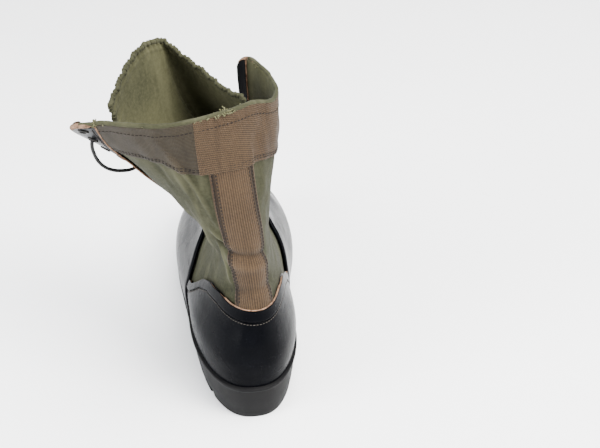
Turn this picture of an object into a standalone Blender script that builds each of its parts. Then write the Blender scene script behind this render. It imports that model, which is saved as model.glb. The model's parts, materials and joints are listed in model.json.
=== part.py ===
"""Left jungle boot, standing empty on its sole with the shaft unlaced and splayed.

Metres. +Z is up, +Y points to the toe and +X to the medial side. The origin is the middle of
the heel's flat spot on the floor.

The upper is one surface of rings. Each ring runs from the middle of the back round to the middle
of the front, and its level goes from 0 at the feather line, where upper and sole meet, to 1 at
the collar. Leather, webbing and sole are worked out from the same rings.
"""
import math

import bmesh
import bpy
import numpy as np
from mathutils import Vector

# Overall sizes of the canvas upper.
FOOT_LENGTH = 0.295
BALL_WIDTH = 0.100
COLLAR_HEIGHT = 0.271

# Height of the feather line above the floor, and the places along the foot where it changes.
HEEL_HEIGHT = 0.036
BALL_HEIGHT = 0.021
TOE_HEIGHT = 0.028
HEEL_REST_TO_BACK = 0.038
HEEL_BREAST = 0.076
FOREFOOT_START = 0.112
TOE_SPRING_START = 0.222
SHANK_START = 0.053
SHANK_END = 0.168
TOE_LIFT_START = 0.183
TOE_SPRING = 0.012

# Thickness of each material, and the gap left between neighbours.
CANVAS = 0.0015
LEATHER = 0.0020
WEBBING = 0.0016
INSOLE = 0.0030
INSOLE_EDGE = 0.0024
CLEARANCE = 0.0003

# Sole.
SOLE_LIP = 0.0026
LIP_THICKNESS = 0.0032
LIP_STEP = 0.0016
LIP_FILLET = 0.0010
HEEL_TAPER = 0.0050
FOREFOOT_TAPER = 0.0015
WAIST_THICKNESS = 0.0120
WAIST_ROUND = 0.0040
GROOVE_DEPTH = 0.0075
GROOVE_WIDTH = 0.0075
GROOVE_PITCH = 0.0205
GROOVE_START = 0.0165
HEEL_GROOVES = 2
GROOVE_SLANT = math.radians(24)
HEEL_GROOVE_SLANT = math.radians(12)
CENTRE_RIB = 0.0120

# Leather, webbing and throat.
COUNTER_BACK_HEIGHT = 0.103
COUNTER_STRIP = 0.0095
JOIN_HEIGHT = 0.0637
BACKSTAY_WIDTH = 0.034
BAND_WIDTH = 0.044
EYESTAY_WIDTH = 0.023
THROAT_HEIGHT = 0.132
THROAT_GAP = 0.024
THROAT_EASE = 0.55
NOTCH = 0.022
TONGUE_THICKNESS = 0.0015
TONGUE_GAP = 0.0034
TONGUE_SEWN_GAP = 0.0014
TONGUE_FOOT_WIDTH = 0.022
TONGUE_COLUMNS = 11
TONGUE_HIDDEN_ROWS = (0.82, 0.91)
TONGUE_DROOP = 1.6
EYELET_SIDES = 10
EYELET_RADIUS = 0.0043
EYELET_HOLE = 0.0024
EYELET_THICKNESS = 0.0009
EYELET_SEAT = 0.0007
EYELETS = 10
FIRST_EYELET = 0.018
LAST_EYELET = 0.010
LACED_PAIRS = 4
LACE_RADIUS = 0.0014
LACE_EDGE_GAP = 0.0020
LACE_FORWARD = 0.0016
LACE_OVERLAY = 0.0006

# How far the two halves of the shaft unroll at the collar, and how the back turns with them.
OPEN_LATERAL = 0.61
OPEN_MEDIAL = 0.24
SHAFT_TWIST = math.radians(20)
OPEN_EASE = 1.30
DROOP_LATERAL = 0.024
DROOP_EASE = 1.5

# Inside swing of the toe, and where the waist is pinched along a ring.
TOE_BEND = 0.009
WAIST_PLACE = 0.40
WAIST_SPAN = 0.16

# Counts of the grid.
QUARTER_COLUMNS = 16
LOWER_ROWS = 14
SHAFT_ROWS = 8
BAND_ROWS = 2
FINE_STEPS = 241
SOLE_STEPS = 33
TURN_WEIGHT = 0.55

UPPER_RISE = COLLAR_HEIGHT - HEEL_HEIGHT
LEATHER_BUILD = CLEARANCE + LEATHER
UPPER_BACK = LEATHER_BUILD - HEEL_REST_TO_BACK
THROAT_LEVEL = (THROAT_HEIGHT - HEEL_HEIGHT) / UPPER_RISE
BAND_LEVEL = 1 - BAND_WIDTH / UPPER_RISE

# One row for each ring of the last and shaft. rise and front_rise are shares of UPPER_RISE above
# the feather line; back and front are shares of FOOT_LENGTH; lateral, medial and lean are shares
# of BALL_WIDTH; widest is the share of the ring's length at which it is widest; the two round
# columns are the powers of its back and front curves; sag is how much of the sole's dip it keeps.
RING_COLUMNS = ("rise", "back", "front", "front_rise", "lateral", "medial", "widest", "back_round",
                "front_round", "pinch_lateral", "pinch_medial", "bend", "sag", "lean")
RINGS = (
    (0.000, 0.000, 1.000, 0.000, 0.520, 0.475, 0.66, 2.50, 2.20, 0.10, 0.22, 1.00, 1.00, 0.020),
    (0.050, -0.004, 0.998, 0.055, 0.535, 0.490, 0.66, 2.45, 2.20, 0.09, 0.20, 1.00, 0.95, 0.025),
    (0.100, -0.006, 0.975, 0.105, 0.525, 0.465, 0.64, 2.40, 2.20, 0.07, 0.17, 0.95, 0.80, 0.030),
    (0.160, 0.004, 0.915, 0.153, 0.475, 0.405, 0.60, 2.30, 2.20, 0.05, 0.12, 0.80, 0.55, 0.040),
    (0.220, 0.022, 0.820, 0.196, 0.410, 0.340, 0.56, 2.20, 2.20, 0.03, 0.06, 0.60, 0.32, 0.050),
    (0.285, 0.040, 0.710, 0.250, 0.340, 0.275, 0.50, 2.15, 2.15, 0.02, 0.02, 0.40, 0.15, 0.055),
    (0.360, 0.050, 0.605, 0.315, 0.275, 0.225, 0.46, 2.10, 2.10, 0.00, 0.00, 0.25, 0.05, 0.045),
    (0.430, 0.054, 0.530, 0.385, 0.245, 0.215, 0.44, 2.05, 2.10, 0.00, 0.00, 0.15, 0.00, 0.030),
    (0.520, 0.058, 0.475, 0.480, 0.255, 0.230, 0.44, 2.05, 2.10, 0.00, 0.00, 0.05, 0.00, 0.005),
    (0.620, 0.062, 0.440, 0.605, 0.300, 0.270, 0.46, 2.05, 2.10, 0.00, 0.00, 0.00, 0.00, -0.025),
    (0.740, 0.066, 0.415, 0.750, 0.350, 0.335, 0.48, 2.05, 2.10, 0.00, 0.00, 0.00, 0.00, -0.055),
    (0.870, 0.070, 0.400, 0.890, 0.385, 0.410, 0.50, 2.05, 2.10, 0.00, 0.00, 0.00, 0.00, -0.085),
    (1.000, 0.073, 0.395, 1.030, 0.400, 0.460, 0.50, 2.05, 2.10, 0.00, 0.00, 0.00, 0.00, -0.110),
)
RING_TABLE = np.array(RINGS)

# Side outlines of the two leather pieces that wrap the foot. along is a share of FOOT_LENGTH ahead
# of the back of the upper. up goes from 0 at JOIN_HEIGHT, where the two meet, to 1 at the counter's
# back height, or for the vamp at the throat's height.
COUNTER_TOP = (
    (-0.100, 1.000),
    (0.130, 1.000),
    (0.200, 0.900),
    (0.260, 0.655),
    (0.305, 0.345),
    (0.345, 0.103),
    (0.385, 0.000),
)
VAMP_REAR = (
    (0.385, -1.000),
    (0.385, 0.000),
    (0.400, 0.158),
    (0.435, 0.377),
    (0.480, 0.615),
    (0.530, 0.793),
    (0.560, 0.893),
)

# The sole's wall under its lip: depth as a share of the thickness, then how much of the heel's and of
# the forefoot's taper it has by there.
WALL_ROWS = (
    (0.55, 0.35, -0.20),
    (0.93, 0.85, 0.30),
    (1.00, 1.00, 1.00),
)

# The slack lace from the ninth lateral eyelet down to the sixth, in metres.
LACE_LOOP = (
    (-0.1055, 0.0163, 0.2294),
    (-0.1082, 0.0225, 0.2225),
    (-0.1062, 0.0300, 0.2150),
    (-0.0975, 0.0400, 0.2015),
    (-0.0872, 0.0485, 0.1902),
    (-0.0805, 0.0535, 0.1850),
    (-0.0789, 0.0548, 0.1865),
)

# The tongue above the throat. up and drop are shares of COLLAR_HEIGHT, the three x columns shares of
# BALL_WIDTH and the three on columns shares of FOOT_LENGTH ahead of the upper's back; power is how
# round the row is, a small one making a crease at the ridge.
TONGUE = (
    (0.455, 0.000, -0.04, 0.460, 0.03, 0.476, 0.09, 0.460, 2.0),
    (0.520, 0.000, -0.08, 0.418, 0.02, 0.440, 0.10, 0.418, 2.0),
    (0.620, 0.000, -0.16, 0.370, -0.03, 0.410, 0.10, 0.370, 1.9),
    (0.740, 0.005, -0.32, 0.318, -0.12, 0.385, 0.10, 0.335, 1.8),
    (0.850, 0.020, -0.58, 0.240, -0.26, 0.365, 0.10, 0.280, 1.7),
    (0.965, 0.045, -0.80, 0.165, -0.38, 0.345, 0.08, 0.222, 1.6),
    (1.080, 0.070, -0.88, 0.140, -0.47, 0.335, 0.05, 0.180, 1.5),
)

LATERAL = -1
MEDIAL = 1


def ease(share):
    """Smooth step from 0 to 1."""
    held = np.clip(share, 0.0, 1.0)
    return held * held * (3 - 2 * held)


def ring_values(level):
    """The table's columns at one level, each by a smooth cubic through its rows."""
    knots = RING_TABLE[:, 0]
    held = min(max(level, knots[0]), knots[-1])
    right = int(np.clip(np.searchsorted(knots, held), 1, len(knots) - 1))
    left = right - 1
    span = knots[right] - knots[left]
    part = (held - knots[left]) / span
    slopes = np.gradient(RING_TABLE, knots, axis=0)
    values = ((1 + 2 * part) * (1 - part) ** 2 * RING_TABLE[left]
              + part * (1 - part) ** 2 * span * slopes[left]
              + part ** 2 * (3 - 2 * part) * RING_TABLE[right]
              - part ** 2 * (1 - part) * span * slopes[right])
    return dict(zip(RING_COLUMNS, values))


def feather_height(along):
    """Height of the feather line, along being metres ahead of the upper's back."""
    drop = ease((along - SHANK_START) / (SHANK_END - SHANK_START))
    lift = np.clip((along - TOE_LIFT_START) / (FOOT_LENGTH - TOE_LIFT_START), 0, None) ** 2
    return HEEL_HEIGHT + (BALL_HEIGHT - HEEL_HEIGHT) * drop + (TOE_HEIGHT - BALL_HEIGHT) * lift


def closed_half(level, side, grow=0.0):
    """Half a ring before the shaft opens, from the back to the front: an array of x, y and z.

    Behind its widest place the half follows one superellipse and ahead of it another. grow moves
    the whole outline outward.
    """
    row = ring_values(level)
    turn = np.linspace(0.0, math.pi, FINE_STEPS)
    share = (1 - np.cos(turn)) / 2
    behind = np.clip(1 - share / row["widest"], 0, 1)
    ahead = np.clip((share - row["widest"]) / (1 - row["widest"]), 0, 1)
    back_curve = (1 - behind ** row["back_round"]) ** (1 / row["back_round"])
    front_curve = (1 - ahead ** row["front_round"]) ** (1 / row["front_round"])
    wide = np.where(share < row["widest"], back_curve, front_curve)
    name = "lateral" if side == LATERAL else "medial"
    pinch = 1 - row["pinch_" + name] * np.exp(-((share - WAIST_PLACE) / WAIST_SPAN) ** 2)
    half = (row[name] * BALL_WIDTH * pinch + grow) * wide
    centre = row["lean"] * BALL_WIDTH + row["bend"] * TOE_BEND * share ** 2
    start = row["back"] * FOOT_LENGTH - grow
    end = row["front"] * FOOT_LENGTH + grow
    along = start + (end - start) * share
    chord = HEEL_HEIGHT + (TOE_HEIGHT - HEEL_HEIGHT) * share
    dip = feather_height(share * FOOT_LENGTH) - chord
    back_height = HEEL_HEIGHT + row["rise"] * UPPER_RISE
    front_height = TOE_HEIGHT + row["front_rise"] * UPPER_RISE
    height = back_height + (front_height - back_height) * share + row["sag"] * dip
    return np.stack([centre + side * half, UPPER_BACK + along, height], axis=1)


def opened_half(level, side):
    """The same half with its plan curve unrolled: its length is kept and its turning is scaled."""
    points = closed_half(level, side)
    steps = np.diff(points[:, :2], axis=0)
    lengths = np.hypot(steps[:, 0], steps[:, 1])
    headings = np.unwrap(np.arctan2(steps[:, 1], side * steps[:, 0]))
    arc = np.concatenate([[0], np.cumsum(lengths)])
    turning = np.concatenate([[0], np.cumsum(np.abs(np.diff(headings)) / math.pi), [1]])
    turning[-1] = turning[-2]
    share = max(level - THROAT_LEVEL, 0) / (1 - THROAT_LEVEL)
    most = OPEN_LATERAL if side == LATERAL else OPEN_MEDIAL
    opening = most * share ** OPEN_EASE
    twist = side * SHAFT_TWIST * share ** OPEN_EASE
    turned = twist + (1 - opening) * headings
    points[1:, 0] = points[0, 0] + side * np.cumsum(lengths * np.cos(turned))
    points[1:, 1] = points[0, 1] + np.cumsum(lengths * np.sin(turned))
    if side == LATERAL:
        points[:, 2] -= DROOP_LATERAL * share * (arc / arc[-1]) ** DROOP_EASE
    return points, arc, turning


def edge_gap(level):
    """Distance from the middle of the front to a quarter's edge, 0 below the throat."""
    share = max(level - THROAT_LEVEL, 0) / (1 - THROAT_LEVEL)
    return THROAT_GAP * share ** THROAT_EASE


def column_arcs(arc, turning, level):
    """Arc lengths of the columns: the backstay's edge, the quarter's columns, the eyestay."""
    edge = arc[-1] - edge_gap(level)
    spread = arc / arc[-1] + TURN_WEIGHT * turning
    low, high = np.interp([BACKSTAY_WIDTH / 2, edge - EYESTAY_WIDTH], arc, spread)
    inner = np.interp(np.linspace(low, high, QUARTER_COLUMNS), spread, arc)
    return np.concatenate([[0.0], inner, [edge - EYESTAY_WIDTH / 2, edge]])


def surface_half(level, side, arcs=None):
    """Points of one half of the upper's outer face at a level, at given arc lengths."""
    points, arc, turning = opened_half(level, side)
    if arcs is None:
        arcs = column_arcs(arc, turning, level)
    return np.stack([np.interp(arcs, arc, points[:, axis]) for axis in range(3)], axis=1)


def grid_levels():
    """The levels of the grid's rows."""
    lower = np.linspace(0, THROAT_LEVEL, LOWER_ROWS + 1)
    shaft = np.linspace(THROAT_LEVEL + NOTCH, BAND_LEVEL, SHAFT_ROWS)
    band = np.linspace(BAND_LEVEL, 1.0, BAND_ROWS + 1)
    return np.concatenate([lower, shaft, band[1:]])


def upper_grid(levels):
    """Rows of points, from the lateral front edge round the back to the medial front edge."""
    rows = []
    for level in levels:
        lateral = surface_half(level, LATERAL)[::-1]
        medial = surface_half(level, MEDIAL)
        rows.append(np.concatenate([lateral, medial[1:]]))
    return np.array(rows)


def grid_normals(grid):
    """Outward unit normals of a grid: the mean of the faces round each point."""
    rows, columns = grid.shape[:2]
    rising = grid[1:, 1:] - grid[:-1, :-1]
    falling = grid[1:, :-1] - grid[:-1, 1:]
    facing = np.cross(rising, falling)
    facing /= np.linalg.norm(facing, axis=2, keepdims=True)
    total = np.zeros_like(grid)
    for row_shift in (0, 1):
        for column_shift in (0, 1):
            total[row_shift:rows - 1 + row_shift, column_shift:columns - 1 + column_shift] += facing
    closed = np.linalg.norm(grid[:, 0] - grid[:, -1], axis=1) < CLEARANCE
    joined = total[closed, 0] + total[closed, -1]
    total[closed, 0] = joined
    total[closed, -1] = joined
    return total / np.linalg.norm(total, axis=2, keepdims=True)


def material(name, colour, roughness, metallic=0.0):
    """A Principled BSDF material."""
    made = bpy.data.materials.new(name)
    made.use_nodes = True
    shader = made.node_tree.nodes["Principled BSDF"]
    shader.inputs["Base Color"].default_value = (*colour, 1.0)
    shader.inputs["Roughness"].default_value = roughness
    shader.inputs["Metallic"].default_value = metallic
    return made


def mesh_object(name, points, faces, made_of, collection):
    """An object from points and faces, coincident points welded."""
    mesh = bpy.data.meshes.new(name)
    mesh.from_pydata([tuple(point) for point in points], [], faces)
    work = bmesh.new()
    work.from_mesh(mesh)
    bmesh.ops.remove_doubles(work, verts=work.verts, dist=1e-5)
    work.to_mesh(mesh)
    work.free()
    mesh.materials.append(made_of)
    mesh.shade_smooth()
    mesh.set_sharp_from_angle(angle=math.radians(40))
    made = bpy.data.objects.new(name, mesh)
    collection.objects.link(made)
    return made


def grid_faces(rows, columns):
    """Triangles of a grid, all split alike so that layers on one grid stay parallel, facing out."""
    faces = []
    for row in range(rows - 1):
        for column in range(columns - 1):
            corner = row * columns + column
            above = corner + columns
            faces.append((corner, corner + 1, above + 1))
            faces.append((corner, above + 1, above))
    return faces


def solidify(made, thickness, offset):
    """Give an open sheet its thickness."""
    wall = made.modifiers.new("wall", "SOLIDIFY")
    wall.thickness = thickness
    wall.offset = offset
    wall.use_even_offset = True
    return made


def sheet(name, grid, thickness, offset, made_of, collection):
    """A sheet of a given thickness on a grid of points."""
    rows, columns = grid.shape[:2]
    made = mesh_object(name, grid.reshape(-1, 3), grid_faces(rows, columns), made_of, collection)
    return solidify(made, thickness, offset)


def boolean(made, tool, operation):
    """Cut or join with another solid."""
    change = made.modifiers.new(operation.lower(), "BOOLEAN")
    change.operation = operation
    change.solver = "EXACT"
    change.object = tool
    return change


def side_prism(name, outline, half_width, collection):
    """A prism across the boot from an outline of along and height in the side view."""
    count = len(outline)
    points = [(side * half_width, along, up) for side in (-1, 1) for along, up in outline]
    left = tuple(range(count))
    right = tuple(reversed(range(count, 2 * count)))
    faces = [left, right]
    for index in range(count):
        following = (index + 1) % count
        faces.append((following, index, index + count, following + count))
    mesh = bpy.data.meshes.new(name)
    mesh.from_pydata(points, [], faces)
    work = bmesh.new()
    work.from_mesh(mesh)
    bmesh.ops.recalc_face_normals(work, faces=work.faces)
    work.to_mesh(mesh)
    work.free()
    return cutter_object(name, mesh, collection)


def cutter_object(name, mesh, collection):
    """A solid that only cuts others."""
    made = bpy.data.objects.new(name, mesh)
    made.hide_render = True
    made.display_type = "WIRE"
    collection.objects.link(made)
    return made


def side_points(table, top):
    """Along and height in metres of an outline's rows, for the height that their 1 stands for."""
    rise = top - JOIN_HEIGHT
    return [(UPPER_BACK + along * FOOT_LENGTH, JOIN_HEIGHT + up * rise) for along, up in table]


def push_line(line, distance):
    """An open line of along and height moved to its left by a distance."""
    points = np.array(line)
    heading = np.gradient(points, axis=0)
    heading /= np.linalg.norm(heading, axis=1, keepdims=True)
    normal = np.stack([-heading[:, 1], heading[:, 0]], axis=1)
    return [tuple(point) for point in points + normal * distance]


def inset_rows(grid, lower, upper):
    """The grid with its first and last rows drawn in by a length, along its own edges."""
    made = grid.copy()
    for edge, inside, length in ((0, 1, lower), (-1, -2, upper)):
        way = grid[inside] - grid[edge]
        reach = np.linalg.norm(way, axis=1, keepdims=True)
        made[edge] = grid[edge] + way / reach * length
    return made


def inset_columns(grid, first, last):
    """The same for the first and last columns."""
    return inset_rows(grid.swapaxes(0, 1), first, last).swapaxes(0, 1)


def outsole_rows():
    """Depth as a share of the sole's thickness, and how far the wall stands out, at the heel and
    at the forefoot."""
    lip = LEATHER_BUILD + SOLE_LIP
    step = lip - LIP_STEP
    rows = [
        (0.0, lip, lip),
        (LIP_THICKNESS / HEEL_HEIGHT, lip, lip),
        ((LIP_THICKNESS + LIP_FILLET) / HEEL_HEIGHT, step, step),
    ]
    for depth, heel_share, fore_share in WALL_ROWS:
        rows.append((depth, step - HEEL_TAPER * heel_share, step - FOREFOOT_TAPER * fore_share))
    return rows


def sole_bottom(along):
    """Height of the uncut underside: flat, then the toe spring."""
    lift = (along - TOE_SPRING_START) / (FOOT_LENGTH - TOE_SPRING_START)
    return TOE_SPRING * np.clip(lift, 0, None) ** 2


def make_outsole(made_of, collection, cutters):
    """Rubber sole and heel in one: lip, tapered wall, raised waist and lugs."""
    picks = np.linspace(0, FINE_STEPS - 1, SOLE_STEPS).round().astype(int)
    rings = []
    for depth, heel_grow, fore_grow in outsole_rows():
        halves = []
        for side in (LATERAL, MEDIAL):
            heel = closed_half(0, side, heel_grow)[picks]
            fore = closed_half(0, side, fore_grow)[picks]
            along = heel[:, 1] - UPPER_BACK
            blend = ease((along - HEEL_BREAST) / (FOREFOOT_START - HEEL_BREAST))[:, None]
            half = heel * (1 - blend) + fore * blend
            along = np.clip(half[:, 1] - UPPER_BACK, 0, FOOT_LENGTH)
            top = feather_height(along) - CLEARANCE
            half[:, 2] = top + (sole_bottom(along) - top) * depth
            halves.append(half)
        rings.append(np.concatenate([halves[0][::-1], halves[1][1:-1]]))
    count = len(rings[0])
    points = np.concatenate(rings)
    faces = []
    for row in range(len(rings) - 1):
        for index in range(count):
            following = (index + 1) % count
            faces.append((row * count + following, row * count + index,
                          (row + 1) * count + index, (row + 1) * count + following))
    for row, turned in ((0, False), (len(rings) - 1, True)):
        base = row * count
        last = len(picks) - 1
        for index in range(last):
            near = [base + last - index, base + last - index - 1]
            far = [base + (last + index + 1) % count, base + (last + index) % count]
            face = near + far
            face = list(dict.fromkeys(face))
            faces.append(tuple(face if turned else reversed(face)))
    made = mesh_object("outsole", points, faces, made_of, collection)
    work = bmesh.new()
    work.from_mesh(made.data)
    bmesh.ops.recalc_face_normals(work, faces=work.faces)
    work.to_mesh(made.data)
    work.free()
    cut_sole(made, cutters)
    return made


def groove_box(name, side, along, slant, cutters):
    """A slanted box that cuts one groove in from the side of the sole, as steep as its underside."""
    length = BALL_WIDTH
    work = bmesh.new()
    bmesh.ops.create_cube(work, size=1.0)
    bmesh.ops.scale(work, vec=(length, GROOVE_WIDTH, GROOVE_DEPTH * 2), verts=work.verts)
    mesh = bpy.data.meshes.new(name)
    work.to_mesh(mesh)
    work.free()
    made = cutter_object(name, mesh, cutters)
    up = sole_bottom(along)
    climb = math.atan2(sole_bottom(along + GROOVE_WIDTH) - up, GROOVE_WIDTH)
    made.location = (side * (CENTRE_RIB + length) / 2, UPPER_BACK + along, up)
    made.rotation_euler = (climb, 0, side * slant)
    return made


def cut_sole(made, cutters):
    """Raise the waist, then cut the grooves between the lugs."""
    rise = float(feather_height(HEEL_BREAST)) - WAIST_THICKNESS
    drop = float(feather_height(FOREFOOT_START)) - WAIST_THICKNESS
    waist = [
        (HEEL_BREAST, -WAIST_ROUND),
        (HEEL_BREAST - WAIST_ROUND, rise - WAIST_ROUND),
        (HEEL_BREAST + WAIST_ROUND, rise),
        (FOREFOOT_START - 3 * WAIST_ROUND, drop),
        (FOREFOOT_START - WAIST_ROUND, drop - WAIST_ROUND),
        (FOREFOOT_START, -WAIST_ROUND),
    ]
    outline = [(UPPER_BACK + along, up) for along, up in waist]
    boolean(made, side_prism("waist_cut", outline, BALL_WIDTH, cutters), "DIFFERENCE")
    fore = np.arange(FOREFOOT_START + GROOVE_START, FOOT_LENGTH, GROOVE_PITCH)
    heel = HEEL_BREAST - GROOVE_START - GROOVE_PITCH * np.arange(HEEL_GROOVES)
    places = [(along, GROOVE_SLANT) for along in fore]
    places += [(along, HEEL_GROOVE_SLANT) for along in heel]
    for index, (along, slant) in enumerate(places):
        for side, word in ((LATERAL, "lateral"), (MEDIAL, "medial")):
            box = groove_box(f"groove_{word}_{index}", side, along, slant, cutters)
            boolean(made, box, "DIFFERENCE")


def make_insole(made_of, collection):
    """A board inside the upper's wall, lying on the sole."""
    picks = np.linspace(0, FINE_STEPS - 1, SOLE_STEPS).round().astype(int)
    inward = -(CANVAS + INSOLE_EDGE)
    halves = []
    for side in (LATERAL, MEDIAL):
        half = closed_half(0, side, inward)[picks]
        half[:, 2] = feather_height(np.clip(half[:, 1] - UPPER_BACK, 0, FOOT_LENGTH))
        halves.append(half)
    grid = np.stack(halves[::-1])
    return sheet("insole", grid, INSOLE, 1.0, made_of, collection)


def clear_scene():
    """Start from an empty scene."""
    for old in list(bpy.data.objects):
        bpy.data.objects.remove(old, do_unlink=True)


def new_collection(name):
    """A collection in the scene."""
    made = bpy.data.collections.new(name)
    bpy.context.scene.collection.children.link(made)
    return made


def make_upper(grid, made_of, collection):
    """The canvas wall, its outer face on the grid."""
    return sheet("upper", grid, CANVAS, -1.0, made_of, collection)


def leather_layer(name, grid, normals, made_of, collection):
    """A leather sheet that lies on the canvas, its lower edge just clear of the sole."""
    raised = inset_rows(grid + normals * CLEARANCE, 2 * CLEARANCE, 0.0)
    return sheet(name, raised, LEATHER, 1.0, made_of, collection)


def make_foot_leather(grid, normals, made_of, collection, cutters):
    """Counter and vamp: the leather layer of the foot cut along their side outlines."""
    last = LOWER_ROWS + 1
    low_grid = grid[:last]
    low_normals = normals[:last]
    top_line = side_points(COUNTER_TOP, COUNTER_BACK_HEIGHT)
    rear_line = side_points(VAMP_REAR, THROAT_HEIGHT)
    below = -HEEL_HEIGHT
    far = UPPER_BACK + FOOT_LENGTH + BALL_WIDTH
    shifted = push_line(rear_line, -CLEARANCE)
    vamp_outline = shifted + [(far, shifted[-1][1]), (far, below)]
    wide = BALL_WIDTH
    below_strip = push_line(top_line, -COUNTER_STRIP)
    strip_foot = push_line(top_line, CLEARANCE - COUNTER_STRIP)
    counter_outline = [(below_strip[0][0], below)] + below_strip + [(top_line[-1][0], below)]
    strip_outline = top_line + strip_foot[::-1]
    counter = leather_layer("counter", low_grid, low_normals, made_of, collection)
    boolean(counter, side_prism("counter_cut", counter_outline, wide, cutters), "INTERSECT")
    strip = leather_layer("counter_strip", low_grid, low_normals, made_of, collection)
    boolean(strip, side_prism("strip_cut", strip_outline, wide, cutters), "INTERSECT")
    vamp = leather_layer("vamp", low_grid, low_normals, made_of, collection)
    boolean(vamp, side_prism("vamp_cut", vamp_outline, wide, cutters), "INTERSECT")
    grown_top = push_line(top_line, CLEARANCE)
    grown_counter = [(grown_top[0][0], below)] + grown_top + [(grown_top[-1][0], below)]
    grown_rear = push_line(shifted, CLEARANCE)
    grown_vamp = grown_rear + [(far, grown_rear[-1][1]), (far, below)]
    return (side_prism("counter_grown", grown_counter, wide, cutters),
            side_prism("vamp_grown", grown_vamp, wide, cutters))


def make_collar_band(grid, normals, made_of, collection):
    """The webbing round the collar, from eyestay to eyestay."""
    raised = grid + normals * CLEARANCE
    band = inset_columns(raised[LOWER_ROWS + SHAFT_ROWS:, 2:-2], CLEARANCE, CLEARANCE)
    return sheet("collar_band", band, WEBBING, 1.0, made_of, collection)


def make_backstay(grid, normals, made_of, collection, counter_grown):
    """The webbing up the back, cut clear of the counter and ending under the collar band."""
    middle = grid.shape[1] // 2
    raised = grid + normals * CLEARANCE
    strip = raised[:LOWER_ROWS + SHAFT_ROWS + 1, middle - 1:middle + 2]
    made = sheet("backstay", inset_rows(strip, 0.0, CLEARANCE), WEBBING, 1.0, made_of, collection)
    boolean(made, counter_grown, "DIFFERENCE")
    return made


def make_eyestays(grid, normals, made_of, collection, vamp_grown):
    """The leather down both front edges, cut clear of the vamp."""
    first = LOWER_ROWS + 1
    raised = grid[first:] + normals[first:] * CLEARANCE
    for word, strip in (("lateral", raised[:, :3]), ("medial", raised[:, -3:])):
        made = sheet(f"eyestay_{word}", strip, LEATHER, 1.0, made_of, collection)
        boolean(made, vamp_grown, "DIFFERENCE")


def eyelet_places(grid, normals, column):
    """Places and normals of the eyelets down one eyestay, from the throat up."""
    line = grid[LOWER_ROWS:, column]
    facing = normals[LOWER_ROWS:, column]
    arc = np.concatenate([[0], np.cumsum(np.linalg.norm(np.diff(line, axis=0), axis=1))])
    arcs = np.linspace(FIRST_EYELET, arc[-1] - LAST_EYELET, EYELETS)
    places = np.stack([np.interp(arcs, arc, line[:, axis]) for axis in range(3)], axis=1)
    ways = np.stack([np.interp(arcs, arc, facing[:, axis]) for axis in range(3)], axis=1)
    return places, ways / np.linalg.norm(ways, axis=1, keepdims=True)


def make_eyelet(name, place, way, made_of, collection):
    """A metal ring lying on the eyestay: a small rectangle turned about the hole."""
    seat = LEATHER_BUILD + EYELET_SEAT
    profile = [(EYELET_RADIUS, EYELET_THICKNESS), (EYELET_RADIUS, 0.0), (EYELET_HOLE, 0.0),
               (EYELET_HOLE, EYELET_THICKNESS)]
    mesh = bpy.data.meshes.new(name)
    edges = [(index, (index + 1) % len(profile)) for index in range(len(profile))]
    mesh.from_pydata([(radius, 0.0, up) for radius, up in profile], edges, [])
    mesh.materials.append(made_of)
    made = bpy.data.objects.new(name, mesh)
    collection.objects.link(made)
    turn = made.modifiers.new("turn", "SCREW")
    turn.steps = EYELET_SIDES
    turn.render_steps = EYELET_SIDES
    turn.use_merge_vertices = True
    turn.merge_threshold = 1e-5
    made.location = Vector(place + way * seat)
    made.rotation_euler = Vector(way).to_track_quat("Z", "Y").to_euler()
    return made


def make_tongue(grid, normals, made_of, collection):
    """The canvas tongue, from under the vamp up to its puckered top edge."""
    across = np.linspace(-1, 1, TONGUE_COLUMNS)
    rows = []
    for row, gap in zip(TONGUE_HIDDEN_ROWS, (TONGUE_SEWN_GAP, TONGUE_GAP)):
        sunk = CANVAS + gap
        line = []
        for share in across:
            pick = share * TONGUE_FOOT_WIDTH / 2
            side = LATERAL if share < 0 else MEDIAL
            level = THROAT_LEVEL * row
            points, arc, turning = opened_half(level, side)
            line.append(surface_half(level, side, np.array([arc[-1] - abs(pick)]))[0])
        line = np.array(line)
        line[:, 2] -= sunk
        line[:, 1] -= sunk
        rows.append(line)
    for up, drop, left, left_on, ridge, ridge_on, right, right_on, power in TONGUE:
        bend = np.abs(across) ** power
        x = ridge + (right - left) / 2 * across + ((left + right) / 2 - ridge) * bend
        on = ridge_on + (right_on - left_on) / 2 * across
        on += ((left_on + right_on) / 2 - ridge_on) * bend
        height = (up - drop * np.abs(across) ** TONGUE_DROOP) * COLLAR_HEIGHT
        rows.append(np.stack([x * BALL_WIDTH, UPPER_BACK + on * FOOT_LENGTH, height], axis=1))
    return sheet("tongue", np.array(rows), TONGUE_THICKNESS, -1.0, made_of, collection)


def tube(name, points, radius, made_of, collection, rounds=2):
    """A cord along a smooth curve through its points."""
    curve = bpy.data.curves.new(name, "CURVE")
    curve.dimensions = "3D"
    curve.bevel_depth = radius
    curve.bevel_resolution = rounds
    curve.use_fill_caps = True
    spline = curve.splines.new("POLY")
    spline.points.add(len(points) - 1)
    for target, point in zip(spline.points, points):
        target.co = (*point, 1.0)
    curve.materials.append(made_of)
    made = bpy.data.objects.new(name, curve)
    collection.objects.link(made)
    return made


def smooth_route(points, spacing):
    """Points read from a smooth curve through a route's own points, about a spacing apart."""
    route = np.array(points)
    arc = np.concatenate([[0], np.cumsum(np.linalg.norm(np.diff(route, axis=0), axis=1))])
    slopes = np.gradient(route, arc, axis=0)
    read = np.linspace(0, arc[-1], int(arc[-1] / spacing) + 2)
    left = np.clip(np.searchsorted(arc, read, side="right") - 1, 0, len(arc) - 2)
    span = (arc[left + 1] - arc[left])[:, None]
    part = (read - arc[left])[:, None] / span
    return ((1 + 2 * part) * (1 - part) ** 2 * route[left]
            + part * (1 - part) ** 2 * span * slopes[left]
            + part ** 2 * (3 - 2 * part) * route[left + 1]
            - part ** 2 * (1 - part) * span * slopes[left + 1])


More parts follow.
